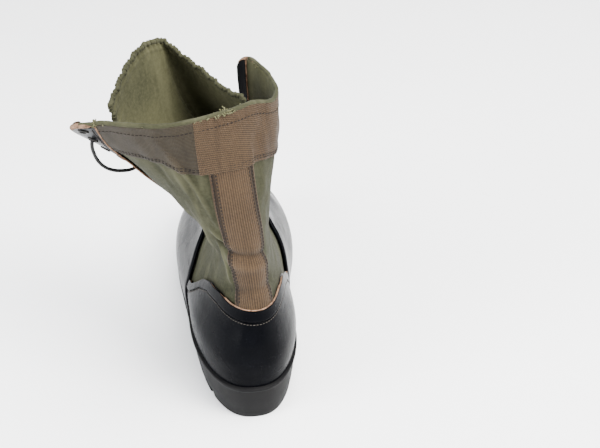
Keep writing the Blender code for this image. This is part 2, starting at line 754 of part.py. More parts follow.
def tube_mesh(curve_object, collection):
    """The curve's tube made a closed mesh object, the curve removed."""
    graph = bpy.context.evaluated_depsgraph_get()
    mesh = bpy.data.meshes.new_from_object(curve_object.evaluated_get(graph))
    work = bmesh.new()
    work.from_mesh(mesh)
    bmesh.ops.remove_doubles(work, verts=work.verts, dist=1e-6)
    work.to_mesh(mesh)
    work.free()
    made = bpy.data.objects.new(curve_object.name + "_solid", mesh)
    made.matrix_world = curve_object.matrix_world
    collection.objects.link(made)
    bpy.data.objects.remove(curve_object, do_unlink=True)
    return made


def lace_turns(grid, normals):
    """Where the lace turns beside each front edge, a little way into the gap."""
    rims = {}
    for side, column in ((LATERAL, 0), (MEDIAL, -1)):
        rims[side] = eyelet_places(grid, normals, column)[0][:LACED_PAIRS]
    across = rims[MEDIAL] - rims[LATERAL]
    across /= np.linalg.norm(across, axis=1, keepdims=True)
    reach = across * (LACE_RADIUS + LACE_EDGE_GAP)
    forward = np.array([0.0, LACE_FORWARD, 0.0])
    return {LATERAL: rims[LATERAL] + reach + forward, MEDIAL: rims[MEDIAL] - reach + forward}


def make_lace_crossings(grid, normals, made_of, collection, cutters):
    """The lace between the lower pairs of eyelets: a bar and two strands that change sides."""
    turns = lace_turns(grid, normals)
    routes = [[turns[LATERAL][0], turns[MEDIAL][0]]]
    for start in (LATERAL, MEDIAL):
        routes.append([turns[start * (-1) ** pair][pair] for pair in range(LACED_PAIRS)])
    strands = []
    for number, route in enumerate(routes):
        laid = np.array(route) + np.array([0.0, LACE_OVERLAY * number, 0.0])
        drawn = tube(f"lace_strand_{number}", laid, LACE_RADIUS, made_of, collection)
        strands.append(tube_mesh(drawn, collection))
    crossings = strands[0]
    crossings.name = "lace_crossings"
    for strand in strands[1:]:
        collection.objects.unlink(strand)
        cutters.objects.link(strand)
        strand.hide_render = True
        strand.display_type = "WIRE"
        boolean(crossings, strand, "UNION")
    return crossings


def make_lace_loop(made_of, collection):
    """The slack lace that hangs beside the splayed lateral edge."""
    route = smooth_route(LACE_LOOP, LACE_RADIUS * 5)
    return tube("lace_loop", route, LACE_RADIUS, made_of, collection)


def build():
    """Every solid of the boot."""
    clear_scene()
    boot = new_collection("jungle_boot")
    cutters = new_collection("cutters")
    canvas = material("olive_canvas", (0.075, 0.075, 0.045), 0.9)
    leather = material("black_leather", (0.012, 0.012, 0.014), 0.35)
    webbing = material("brown_webbing", (0.115, 0.085, 0.055), 0.85)
    rubber = material("black_rubber", (0.020, 0.020, 0.021), 0.6)
    brass = material("blackened_brass", (0.030, 0.028, 0.025), 0.45, 0.8)
    lace = material("black_lace", (0.015, 0.015, 0.016), 0.8)
    board = material("insole_board", (0.10, 0.08, 0.055), 0.8)
    levels = grid_levels()
    grid = upper_grid(levels)
    normals = grid_normals(grid)
    make_upper(grid, canvas, boot)
    make_outsole(rubber, boot, cutters)
    make_insole(board, boot)
    counter_grown, vamp_grown = make_foot_leather(grid, normals, leather, boot, cutters)
    make_collar_band(grid, normals, webbing, boot)
    make_backstay(grid, normals, webbing, boot, counter_grown)
    make_eyestays(grid, normals, leather, boot, vamp_grown)
    make_tongue(grid, normals, canvas, boot)
    for word, column in (("lateral", 1), ("medial", -2)):
        places, ways = eyelet_places(grid, normals, column)
        for number, (place, way) in enumerate(zip(places, ways)):
            make_eyelet(f"eyelet_{word}_{number + 1}", place, way, brass, boot)
    make_lace_crossings(grid, normals, lace, boot, cutters)
    make_lace_loop(lace, boot)


build()
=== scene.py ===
"""Looks of the left jungle boot: canvas shaft splayed open, webbing, black leather and rubber sole.

Metres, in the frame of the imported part: +Z up, +Y to the toe, +X to the medial side. Every soft
piece lies on one surface. A place on it is a level, 0 at the feather line and 1 at the collar, and
a column, 0 at the middle of the back, -18 at the lateral front edge and +18 at the medial one.
"""

import json
import math

import bmesh
import bpy
import numpy as np
from mathutils import Matrix, Vector

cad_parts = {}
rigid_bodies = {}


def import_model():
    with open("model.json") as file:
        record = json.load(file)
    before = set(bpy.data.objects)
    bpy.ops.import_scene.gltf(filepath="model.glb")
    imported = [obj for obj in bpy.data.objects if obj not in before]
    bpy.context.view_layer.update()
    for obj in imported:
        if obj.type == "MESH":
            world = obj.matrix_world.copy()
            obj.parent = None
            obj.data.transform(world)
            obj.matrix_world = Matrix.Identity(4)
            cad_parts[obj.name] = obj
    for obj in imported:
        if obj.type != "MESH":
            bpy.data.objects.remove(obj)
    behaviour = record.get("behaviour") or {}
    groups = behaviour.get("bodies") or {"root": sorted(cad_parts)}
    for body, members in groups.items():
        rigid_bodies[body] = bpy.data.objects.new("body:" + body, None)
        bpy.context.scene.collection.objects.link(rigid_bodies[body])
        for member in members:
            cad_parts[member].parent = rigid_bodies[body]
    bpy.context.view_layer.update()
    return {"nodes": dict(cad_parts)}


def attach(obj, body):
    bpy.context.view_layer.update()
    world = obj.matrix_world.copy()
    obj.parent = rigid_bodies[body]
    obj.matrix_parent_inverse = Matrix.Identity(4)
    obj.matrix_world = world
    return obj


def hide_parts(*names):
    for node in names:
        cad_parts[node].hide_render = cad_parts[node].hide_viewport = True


# Sizes of the form.
FOOT_LENGTH = 0.295
BALL_WIDTH = 0.100
COLLAR_HEIGHT = 0.271
HEEL_HEIGHT = 0.036
BALL_HEIGHT = 0.021
TOE_HEIGHT = 0.028
HEEL_REST_TO_BACK = 0.038
HEEL_BREAST = 0.076
FOREFOOT_START = 0.112
TOE_SPRING_START = 0.222
SHANK_START = 0.053
SHANK_END = 0.168
TOE_LIFT_START = 0.183
TOE_SPRING = 0.012
CANVAS = 0.0015
LEATHER = 0.0020
WEBBING = 0.0016
CLEARANCE = 0.0003
SOLE_LIP = 0.0026
LIP_THICKNESS = 0.0032
LIP_STEP = 0.0016
HEEL_TAPER = 0.0050
FOREFOOT_TAPER = 0.0015
WAIST_THICKNESS = 0.0120
WAIST_ROUND = 0.0040
GROOVE_DEPTH = 0.0075
GROOVE_WIDTH = 0.0075
GROOVE_PITCH = 0.0205
GROOVE_START = 0.0165
HEEL_GROOVES = 2
GROOVE_SLANT = math.radians(24)
HEEL_GROOVE_SLANT = math.radians(12)
CENTRE_RIB = 0.0120
COUNTER_BACK_HEIGHT = 0.103
COUNTER_STRIP = 0.0095
JOIN_HEIGHT = 0.0637
BACKSTAY_WIDTH = 0.034
BAND_WIDTH = 0.044
EYESTAY_WIDTH = 0.023
THROAT_HEIGHT = 0.132
THROAT_GAP = 0.024
THROAT_EASE = 0.55
TONGUE_THICKNESS = 0.0015
TONGUE_GAP = 0.0034
TONGUE_SEWN_GAP = 0.0014
TONGUE_FOOT_WIDTH = 0.022
TONGUE_HIDDEN_ROWS = (0.82, 0.91)
TONGUE_DROOP = 1.6
TONGUE_BULGE = 0.0075
TONGUE_SAG = 0.0110
TONGUE_FALL = 0.0080
EYELETS = 10
FIRST_EYELET = 0.018
LAST_EYELET = 0.010
LACED_PAIRS = 4
LACE_RADIUS = 0.0014
OPEN_LATERAL = 0.61
OPEN_MEDIAL = 0.24
SHAFT_TWIST = math.radians(20)
OPEN_EASE = 1.30
DROOP_LATERAL = 0.024
DROOP_EASE = 1.5
TOE_BEND = 0.009
WAIST_PLACE = 0.40
WAIST_SPAN = 0.16
TURN_WEIGHT = 0.55
QUARTER_COLUMNS = 16

UPPER_RISE = COLLAR_HEIGHT - HEEL_HEIGHT
LEATHER_BUILD = CLEARANCE + LEATHER
UPPER_BACK = LEATHER_BUILD - HEEL_REST_TO_BACK
THROAT_LEVEL = (THROAT_HEIGHT - HEEL_HEIGHT) / UPPER_RISE
BAND_LEVEL = 1 - BAND_WIDTH / UPPER_RISE
EDGE_COLUMN = QUARTER_COLUMNS + 2

# Fineness of the surface that every piece is read from.
FINE_STEPS = 901
FIELD_ROWS = 301
FIELD_COLUMNS = 433

RING_COLUMNS = ("rise", "back", "front", "front_rise", "lateral", "medial", "widest", "back_round",
                "front_round", "pinch_lateral", "pinch_medial", "bend", "sag", "lean")
RINGS = np.array((
    (0.000, 0.000, 1.000, 0.000, 0.520, 0.475, 0.66, 2.50, 2.20, 0.10, 0.22, 1.00, 1.00, 0.020),
    (0.050, -0.004, 0.998, 0.055, 0.535, 0.490, 0.66, 2.45, 2.20, 0.09, 0.20, 1.00, 0.95, 0.025),
    (0.100, -0.006, 0.975, 0.105, 0.525, 0.465, 0.64, 2.40, 2.20, 0.07, 0.17, 0.95, 0.80, 0.030),
    (0.160, 0.004, 0.915, 0.153, 0.475, 0.405, 0.60, 2.30, 2.20, 0.05, 0.12, 0.80, 0.55, 0.040),
    (0.220, 0.022, 0.820, 0.196, 0.410, 0.340, 0.56, 2.20, 2.20, 0.03, 0.06, 0.60, 0.32, 0.050),
    (0.285, 0.040, 0.710, 0.250, 0.340, 0.275, 0.50, 2.15, 2.15, 0.02, 0.02, 0.40, 0.15, 0.055),
    (0.360, 0.050, 0.605, 0.315, 0.275, 0.225, 0.46, 2.10, 2.10, 0.00, 0.00, 0.25, 0.05, 0.045),
    (0.430, 0.054, 0.530, 0.385, 0.245, 0.215, 0.44, 2.05, 2.10, 0.00, 0.00, 0.15, 0.00, 0.030),
    (0.520, 0.058, 0.475, 0.480, 0.255, 0.230, 0.44, 2.05, 2.10, 0.00, 0.00, 0.05, 0.00, 0.005),
    (0.620, 0.062, 0.440, 0.605, 0.300, 0.270, 0.46, 2.05, 2.10, 0.00, 0.00, 0.00, 0.00, -0.025),
    (0.740, 0.066, 0.415, 0.750, 0.350, 0.335, 0.48, 2.05, 2.10, 0.00, 0.00, 0.00, 0.00, -0.055),
    (0.870, 0.070, 0.400, 0.890, 0.385, 0.410, 0.50, 2.05, 2.10, 0.00, 0.00, 0.00, 0.00, -0.085),
    (1.000, 0.073, 0.395, 1.030, 0.400, 0.460, 0.50, 2.05, 2.10, 0.00, 0.00, 0.00, 0.00, -0.110),
))
COUNTER_TOP = ((-0.100, 1.000), (0.130, 1.000), (0.200, 0.900), (0.260, 0.655), (0.305, 0.345),
               (0.345, 0.103), (0.385, 0.000))
VAMP_REAR = ((0.385, -1.000), (0.385, 0.000), (0.400, 0.158), (0.435, 0.377), (0.480, 0.615),
             (0.530, 0.793), (0.560, 0.893))
WALL_ROWS = ((0.55, 0.35, -0.20), (0.93, 0.85, 0.30), (1.00, 1.00, 1.00))
SLACK_TOP = 9
SLACK_FOOT = 6
SLACK_SAG = (-0.0045, -0.0010, -0.0045)
TONGUE = (
    (0.455, 0.000, -0.04, 0.460, 0.03, 0.476, 0.09, 0.460, 2.0),
    (0.520, 0.000, -0.08, 0.418, 0.02, 0.440, 0.10, 0.418, 2.0),
    (0.620, 0.000, -0.16, 0.370, -0.03, 0.410, 0.10, 0.370, 1.9),
    (0.740, 0.005, -0.40, 0.305, -0.12, 0.385, 0.10, 0.335, 1.8),
    (0.850, 0.020, -0.68, 0.225, -0.26, 0.365, 0.10, 0.280, 1.7),
    (0.965, 0.045, -0.83, 0.165, -0.38, 0.345, 0.08, 0.222, 1.6),
    (1.080, 0.070, -0.88, 0.140, -0.47, 0.335, 0.05, 0.180, 1.5),
)

# Creases of the canvas and leather, each a smooth line through three places on the surface.
# Columns: three pairs of level and column, then half width and height in metres. A height below
# zero is a trough.
CREASES = (
    (0.34, -6.0, 0.42, -4.6, 0.52, -3.4, 0.0070, -0.0022),
    (0.40, -7.2, 0.50, -5.6, 0.62, -4.6, 0.0055, 0.0016),
    (0.62, -4.2, 0.74, -5.2, 0.86, -6.6, 0.0050, 0.0013),
    (0.52, -9.0, 0.60, -7.4, 0.70, -6.4, 0.0060, -0.0012),
    (0.30, -3.4, 0.35, -1.6, 0.36, 0.0, 0.0055, -0.0020),
    (0.36, 0.0, 0.37, 1.4, 0.34, 3.0, 0.0055, -0.0018),
    (0.94, -7.5, 0.80, -3.8, 0.60, -1.7, 0.0036, 0.0018),
    (0.53, -3.6, 0.44, -2.2, 0.31, -1.3, 0.0032, 0.0014),
    (0.535, -3.8, 0.515, -2.2, 0.50, -0.8, 0.0034, -0.0036),
    (0.575, -4.0, 0.555, -2.2, 0.54, -0.8, 0.0040, 0.0022),
    (0.520, -2.6, 0.490, 0.0, 0.465, 2.8, 0.0038, -0.0017),
    (0.465, -2.6, 0.445, 0.0, 0.425, 2.8, 0.0046, 0.0011),
    (0.88, -11.0, 0.80, -8.5, 0.70, -6.8, 0.0050, -0.0014),
    (0.40, 4.0, 0.48, 6.0, 0.55, 8.5, 0.0070, -0.0018),
    (0.30, 5.0, 0.36, 7.5, 0.40, 10.5, 0.0060, 0.0015),
    (0.12, -13.2, 0.17, -14.6, 0.22, -17.9, 0.0055, -0.0012),
    (0.12, 13.2, 0.17, 14.6, 0.22, 17.9, 0.0055, -0.0012),
    (0.15, -13.0, 0.20, -14.6, 0.26, -17.9, 0.0050, 0.0010),
    (0.15, 13.0, 0.20, 14.6, 0.26, 17.9, 0.0050, 0.0010),
)
COLUMN_REACH = 0.0085
BAND_JOINT = -2.3
BAND_RISE = 0.038
# Crease height for the full mark: ridges paled by wear, troughs darkened by painted shade.
WEAR_AND_SHADE_HEIGHT = 0.0020

# Where the collar's two front corners stand, away from the plain opened form.
LATERAL_CORNER = (0.0, 0.0060, 0.0065)
MEDIAL_CORNER = (-0.0025, -0.0010, -0.0035)
MEDIAL_TURN = (0.0035, -0.0040, -0.0080)

# Rounding of the two corners, sewn lines and cut edges. CORNER_WIDTH and the names with INNER or
# COLUMN are in columns, CORNER_DROP is in levels, and the rest are metres.
CORNER_WIDTH = 1.3
CORNER_DROP = 0.045
STAY_SEAM = 0.0143
BAND_LAP = 0.0004
EYESTAY_INNER = EDGE_COLUMN - 2.06
CUT_EDGE_COLUMN = EDGE_COLUMN - 2.07
CUT_EDGE = 0.0007
CUT_EDGE_FOLD = 0.0013
COUNTER_CUT_EDGE = 0.00075
EYELET_COLUMN = EDGE_COLUMN - 1

# Lights: name, place, two sides, power and colour.
LIGHTS = (
    ("left_soft", (-1.6, -0.6, 0.75), 1.0, 1.2, 85.0, (0.96, 0.98, 1.0)),
    ("top_soft", (0.45, -0.3, 2.05), 1.8, 1.8, 150.0, (1.0, 1.0, 1.0)),
    ("right_soft", (1.3, -1.0, 1.7), 1.0, 1.0, 130.0, (1.0, 0.98, 0.95)),
)

LATERAL = -1
MEDIAL = 1


def ease(share):
    """Smooth step from 0 to 1."""
    held = np.clip(share, 0.0, 1.0)
    return held * held * (3 - 2 * held)


def arc_lengths(points):
    """Distance along a line of points to each: the sum of the steps before it."""
    return np.concatenate([[0], np.cumsum(np.linalg.norm(np.diff(points, axis=0), axis=1))])


def read_along(read, arc, points):
    """Points at distances along a line, straight between its own points."""
    return np.stack([np.interp(read, arc, points[:, k]) for k in range(3)], axis=1)


def cubic_between(values, slopes, left, part, span):
    """A smooth cubic between each row and the next, from their values and slopes."""
    return ((1 + 2 * part) * (1 - part) ** 2 * values[left]
            + part * (1 - part) ** 2 * span * slopes[left]
            + part ** 2 * (3 - 2 * part) * values[left + 1]
            - part ** 2 * (1 - part) * span * slopes[left + 1])


def ring_values(level):
    """The table's columns at one level, by a smooth cubic through its rows."""
    knots = RINGS[:, 0]
    held = min(max(level, knots[0]), knots[-1])
    right = int(np.clip(np.searchsorted(knots, held), 1, len(knots) - 1))
    left = right - 1
    span = knots[right] - knots[left]
    part = (held - knots[left]) / span
    slopes = np.gradient(RINGS, knots, axis=0)
    return dict(zip(RING_COLUMNS, cubic_between(RINGS, slopes, left, part, span)))


def feather_height(along):
    """Height of the feather line, along being metres ahead of the upper's back."""
    drop = ease((along - SHANK_START) / (SHANK_END - SHANK_START))
    lift = np.clip((along - TOE_LIFT_START) / (FOOT_LENGTH - TOE_LIFT_START), 0, None) ** 2
    return HEEL_HEIGHT + (BALL_HEIGHT - HEEL_HEIGHT) * drop + (TOE_HEIGHT - BALL_HEIGHT) * lift


def closed_half(level, side, grow=0.0):
    """Half a ring before the shaft opens: two superellipses that meet at its widest place."""
    row = ring_values(level)
    turn = np.linspace(0.0, math.pi, FINE_STEPS)
    share = (1 - np.cos(turn)) / 2
    behind = np.clip(1 - share / row["widest"], 0, 1)
    ahead = np.clip((share - row["widest"]) / (1 - row["widest"]), 0, 1)
    back_curve = (1 - behind ** row["back_round"]) ** (1 / row["back_round"])
    front_curve = (1 - ahead ** row["front_round"]) ** (1 / row["front_round"])
    wide = np.where(share < row["widest"], back_curve, front_curve)
    name = "lateral" if side == LATERAL else "medial"
    pinch = 1 - row["pinch_" + name] * np.exp(-((share - WAIST_PLACE) / WAIST_SPAN) ** 2)
    half = (row[name] * BALL_WIDTH * pinch + grow) * wide
    centre = row["lean"] * BALL_WIDTH + row["bend"] * TOE_BEND * share ** 2
    start = row["back"] * FOOT_LENGTH - grow
    end = row["front"] * FOOT_LENGTH + grow
    along = start + (end - start) * share
    chord = HEEL_HEIGHT + (TOE_HEIGHT - HEEL_HEIGHT) * share
    dip = feather_height(share * FOOT_LENGTH) - chord
    back_height = HEEL_HEIGHT + row["rise"] * UPPER_RISE
    front_height = TOE_HEIGHT + row["front_rise"] * UPPER_RISE
    height = back_height + (front_height - back_height) * share + row["sag"] * dip
    return np.stack([centre + side * half, UPPER_BACK + along, height], axis=1)


def opened_half(level, side):
    """The same half with its plan curve unrolled: its length is kept and its turning is scaled."""
    points = closed_half(level, side)
    steps = np.diff(points[:, :2], axis=0)
    lengths = np.hypot(steps[:, 0], steps[:, 1])
    headings = np.unwrap(np.arctan2(steps[:, 1], side * steps[:, 0]))
    arc = np.concatenate([[0], np.cumsum(lengths)])
    turning = np.concatenate([[0], np.cumsum(np.abs(np.diff(headings)) / math.pi), [1]])
    turning[-1] = turning[-2]
    share = max(level - THROAT_LEVEL, 0) / (1 - THROAT_LEVEL)
    most = OPEN_LATERAL if side == LATERAL else OPEN_MEDIAL
    opening = most * share ** OPEN_EASE
    twist = side * SHAFT_TWIST * share ** OPEN_EASE
    turned = twist + (1 - opening) * headings
    points[1:, 0] = points[0, 0] + side * np.cumsum(lengths * np.cos(turned))
    points[1:, 1] = points[0, 1] + np.cumsum(lengths * np.sin(turned))
    if side == LATERAL:
        points[:, 2] -= DROOP_LATERAL * share * (arc / arc[-1]) ** DROOP_EASE
    return points, arc, turning


def column_arcs(arc, turning, level):
    """Arc lengths of the whole columns: the backstay's edge, the quarter's columns, the eyestay."""
    share = max(level - THROAT_LEVEL, 0) / (1 - THROAT_LEVEL)
    edge = arc[-1] - THROAT_GAP * share ** THROAT_EASE
    spread = arc / arc[-1] + TURN_WEIGHT * turning
    low, high = np.interp([BACKSTAY_WIDTH / 2, edge - EYESTAY_WIDTH], arc, spread)
    inner = np.interp(np.linspace(low, high, QUARTER_COLUMNS), spread, arc)
    return np.concatenate([[0.0], inner, [edge - EYESTAY_WIDTH / 2, edge]])


def form_field():
    """The smooth outer face of the canvas on a fine grid of levels and columns, and the arc length
    from the middle of the back at each place."""
    columns = np.linspace(0, EDGE_COLUMN, FIELD_COLUMNS // 2 + 1)
    whole = np.arange(EDGE_COLUMN + 1)
    rows, arcs = [], []
    for level in np.linspace(0, 1, FIELD_ROWS):
        halves, lengths = [], []
        for side in (LATERAL, MEDIAL):
            points, arc, turning = opened_half(level, side)
            read = np.interp(columns, whole, column_arcs(arc, turning, level))
            halves.append(read_along(read, arc, points))
            lengths.append(read)
        rows.append(np.concatenate([halves[0][::-1], halves[1][1:]]))
        arcs.append(np.concatenate([-lengths[0][::-1], lengths[1][1:]]))
    return np.array(rows), np.array(arcs)


def corner_shift(level, column):
    """How far the canvas stands from the plain opened form near the collar: smooth steps up and round."""
    up = ease((level - 0.55) / 0.45)
    lateral = up * ease((-column - 5) / 11)
    medial = up * ease((column - 9) / 8)
    turn = ease((level - 0.45) / 0.55) * ease((column - 1.5) / 6) - medial
    return (lateral[..., None] * np.array(LATERAL_CORNER) + medial[..., None] * np.array(MEDIAL_CORNER)
            + np.clip(turn, 0, 1)[..., None] * np.array(MEDIAL_TURN))


def field_normals(field):
    """Outward unit normals: the cross product of the slopes round and up the surface."""
    facing = np.cross(np.gradient(field, axis=1), np.gradient(field, axis=0))
    closed = np.linalg.norm(field[:, 0] - field[:, -1], axis=1) < CLEARANCE
    joined = facing[closed, 0] + facing[closed, -1]
    facing[closed, 0] = joined
    facing[closed, -1] = joined
    size = np.linalg.norm(facing, axis=2, keepdims=True)
    return facing / np.maximum(size, 1e-12)


def sample(values, level, column):
    """Values of a field between its rows and columns, by cubic convolution over 16 neighbours."""
    rows, columns = values.shape[:2]
    at_row = np.clip(level, 0, 1) * (rows - 1)
    at_column = (np.clip(column, -EDGE_COLUMN, EDGE_COLUMN) / EDGE_COLUMN + 1) / 2 * (columns - 1)
    row = np.clip(np.floor(at_row).astype(int), 0, rows - 2)
    place = np.clip(np.floor(at_column).astype(int), 0, columns - 2)
    row_weights = cubic_weights(at_row - row)
    place_weights = cubic_weights(at_column - place)
    total = 0.0
    for i in range(4):
        for j in range(4):
            near = values[np.clip(row + i - 1, 0, rows - 1), np.clip(place + j - 1, 0, columns - 1)]
            weight = row_weights[i] * place_weights[j]
            total = total + near * (weight[..., None] if near.ndim > weight.ndim else weight)
    return total


def cubic_weights(part):
    """The four weights of a cubic through neighbours at -1, 0, 1 and 2."""
    return (-0.5 * part + part ** 2 - 0.5 * part ** 3,
            1 - 2.5 * part ** 2 + 1.5 * part ** 3,
            0.5 * part + 2 * part ** 2 - 1.5 * part ** 3,
            -0.5 * part ** 2 + 0.5 * part ** 3)


def crease_heights(level, column):
    """Height of the creases at each place: a bell of each crease's half width about its line."""
    total = np.zeros_like(level)
    step = np.linspace(0, 1, 45)
    for l0, c0, l1, c1, l2, c2, width, height in CREASES:
        blend = ((1 - step) ** 2, 2 * step * (1 - step), step ** 2)
        line_level = blend[0] * l0 + blend[1] * l1 + blend[2] * l2
        line_column = blend[0] * c0 + blend[1] * c1 + blend[2] * c2
        nearest = np.full(level.shape, 1.0)
        fade = np.zeros(level.shape)
        for at_level, at_column, share in zip(line_level, line_column, step):
            away = np.hypot((level - at_level) * UPPER_RISE, (column - at_column) * COLUMN_REACH)
            closer = away < nearest
            nearest = np.where(closer, away, nearest)
            fade = np.where(closer, math.sin(math.pi * min(max(share, 0.08), 0.92)), fade)
        total += height * fade * np.exp(-(nearest / width) ** 2)
    return total


def soft_noise(level, column, seed, cells, height):
    """Gentle unevenness: a coarse grid of seeded heights, read smoothly."""
    grid = np.random.default_rng(seed).uniform(-height, height, cells)
    return sample(grid, level, column)


def surface(level, column, lift=0.0):
    """Points of the creased surface, raised along its normals."""
    raise_by = lift[..., None] if isinstance(lift, np.ndarray) else lift
    return sample(FIELD, level, column) + sample(NORMALS, level, column) * raise_by


def link(name, mesh, materials):
    """A linked object with its materials."""
    for made_of in materials:
        mesh.materials.append(made_of)
    made = bpy.data.objects.new(name, mesh)
    bpy.context.scene.collection.objects.link(made)
    return made


def grid_mesh(name, points, materials, uv=None, weld=False, wear_and_shade=None):
    """A smooth quad mesh on a grid of points, with a UV map in metres and crease heights for wear and
    painted shade.
    """
    rows, columns = points.shape[:2]
    index = np.arange(rows * columns).reshape(rows, columns)
    quads = np.stack([index[:-1, :-1], index[:-1, 1:], index[1:, 1:], index[1:, :-1]], axis=-1)
    quads = quads.reshape(-1, 4)
    mesh = bpy.data.meshes.new(name)
    mesh.from_pydata(points.reshape(-1, 3).tolist(), [], quads.tolist())
    if uv is not None:
        layer = mesh.uv_layers.new(name="cloth")
        layer.data.foreach_set("uv", uv.reshape(-1, 2)[quads.reshape(-1)].ravel())
    if wear_and_shade is not None:
        mesh.attributes.new("wear_and_shade", "FLOAT", "POINT").data.foreach_set("value", wear_and_shade.ravel())
    if weld:
        work = bmesh.new()
        work.from_mesh(mesh)
        bmesh.ops.remove_doubles(work, verts=work.verts, dist=1e-5)
        work.to_mesh(mesh)
        work.free()
    mesh.shade_smooth()
    return link(name, mesh, materials)


def solidify(made, thickness, rim=0, inside=0):
    """Thickness for a sheet, inward from it, with other slots for its rim and its inner face."""
    wall = made.modifiers.new("wall", "SOLIDIFY")
    wall.thickness = thickness
    wall.offset = -1.0
    wall.use_even_offset = False
    wall.material_offset_rim = rim
    wall.material_offset = inside
    return made


def rolled_shares(count, roll):
    """Shares from 0 to 1 with three close ones at each end, where an edge rolls over."""
    inner = np.linspace(roll, 1 - roll, count)
    return np.concatenate([[0, roll * 0.2, roll * 0.55], inner, [1 - roll * 0.55, 1 - roll * 0.2, 1]])


def roll_down(shares, roll, depth):
    """How far a sheet dips at its edges, as a quarter circle over its last bit."""
    near = np.clip(np.minimum(shares, 1 - shares) / roll, 0, 1)
    return depth * (1 - np.sqrt(1 - (1 - near) ** 2))


def cloth_mesh(name, level, column, lift, materials, weld=False):
    """A mesh over levels and columns of the surface, with its cloth map and its crease heights for wear and
    painted shade.
    """
    uv = np.stack([sample(ARCS, level, column), level * UPPER_RISE], axis=-1)
    wear_and_shade = sample(HEIGHTS, level, column) / WEAR_AND_SHADE_HEIGHT
    return grid_mesh(name, surface(level, column, lift), materials, uv, weld, wear_and_shade)


def patch(name, level, column, lift, thickness, materials, rim=0, row_roll=None, column_roll=None,
          extra=None):
    """A sheet of a given thickness over a patch of the surface, its edges rolled over.

    Its points are the surface at each level and column, raised by lift and the thickness, less the
    dip of the rolled edges.
    """
    dip = np.zeros(level.shape)
    if row_roll is not None:
        dip = np.maximum(dip, row_roll[:, None])
    if column_roll is not None:
        dip = np.maximum(dip, column_roll[None, :])
    raised = lift + thickness - dip
    if extra is not None:
        raised = raised + extra
    return solidify(cloth_mesh(name, level, column, raised, materials), thickness, rim=rim)


def outline_height(along, table, top):
    """Height of a side outline at places along the foot."""
    rise = top - JOIN_HEIGHT
    rows = np.array(table)
    return np.interp(along, UPPER_BACK + rows[:, 0] * FOOT_LENGTH, JOIN_HEIGHT + rows[:, 1] * rise)


def level_at_line(columns, lower):
    """The level where each column meets the counter's top line, or a line lower by a distance."""
    levels = np.linspace(0, THROAT_LEVEL, 240)
    grid_level, grid_column = np.meshgrid(levels, columns, indexing="ij")
    points = sample(FIELD, grid_level, grid_column)
    over = points[..., 2] - outline_height(points[..., 1], COUNTER_TOP, COUNTER_BACK_HEIGHT) + lower
    first = np.argmax(over > 0, axis=0)
    first = np.clip(first, 1, len(levels) - 1)
    pick = np.arange(len(columns))
    below, above = over[first - 1, pick], over[first, pick]
    part = np.clip(below / (below - above), 0, 1)
    return levels[first - 1] + part * (levels[first] - levels[first - 1])


def column_at_rear(levels, side, behind=0.0):
    """The column where each level meets the vamp's rear line, or a line further back."""
    columns = np.linspace(2, EDGE_COLUMN, 500)
    grid_level, grid_column = np.meshgrid(levels, columns, indexing="ij")
    points = sample(FIELD, grid_level, side * grid_column)
    rows = np.array(VAMP_REAR)
    rise = THROAT_HEIGHT - JOIN_HEIGHT
    line_up = JOIN_HEIGHT + rows[1:, 1] * rise
    line_on = UPPER_BACK + rows[1:, 0] * FOOT_LENGTH
    rear = np.interp(points[..., 2], line_up, line_on)
    ahead = points[..., 1] - rear + behind
    first = np.clip(np.argmax(ahead > 0, axis=1), 1, len(columns) - 1)
    never = ~np.any(ahead > 0, axis=1)
    pick = np.arange(len(levels))
    below, above = ahead[pick, first - 1], ahead[pick, first]
    part = np.clip(below / (below - above), 0, 1)
    found = columns[first - 1] + part * (columns[first] - columns[first - 1])
    return np.where(never, EDGE_COLUMN, found)


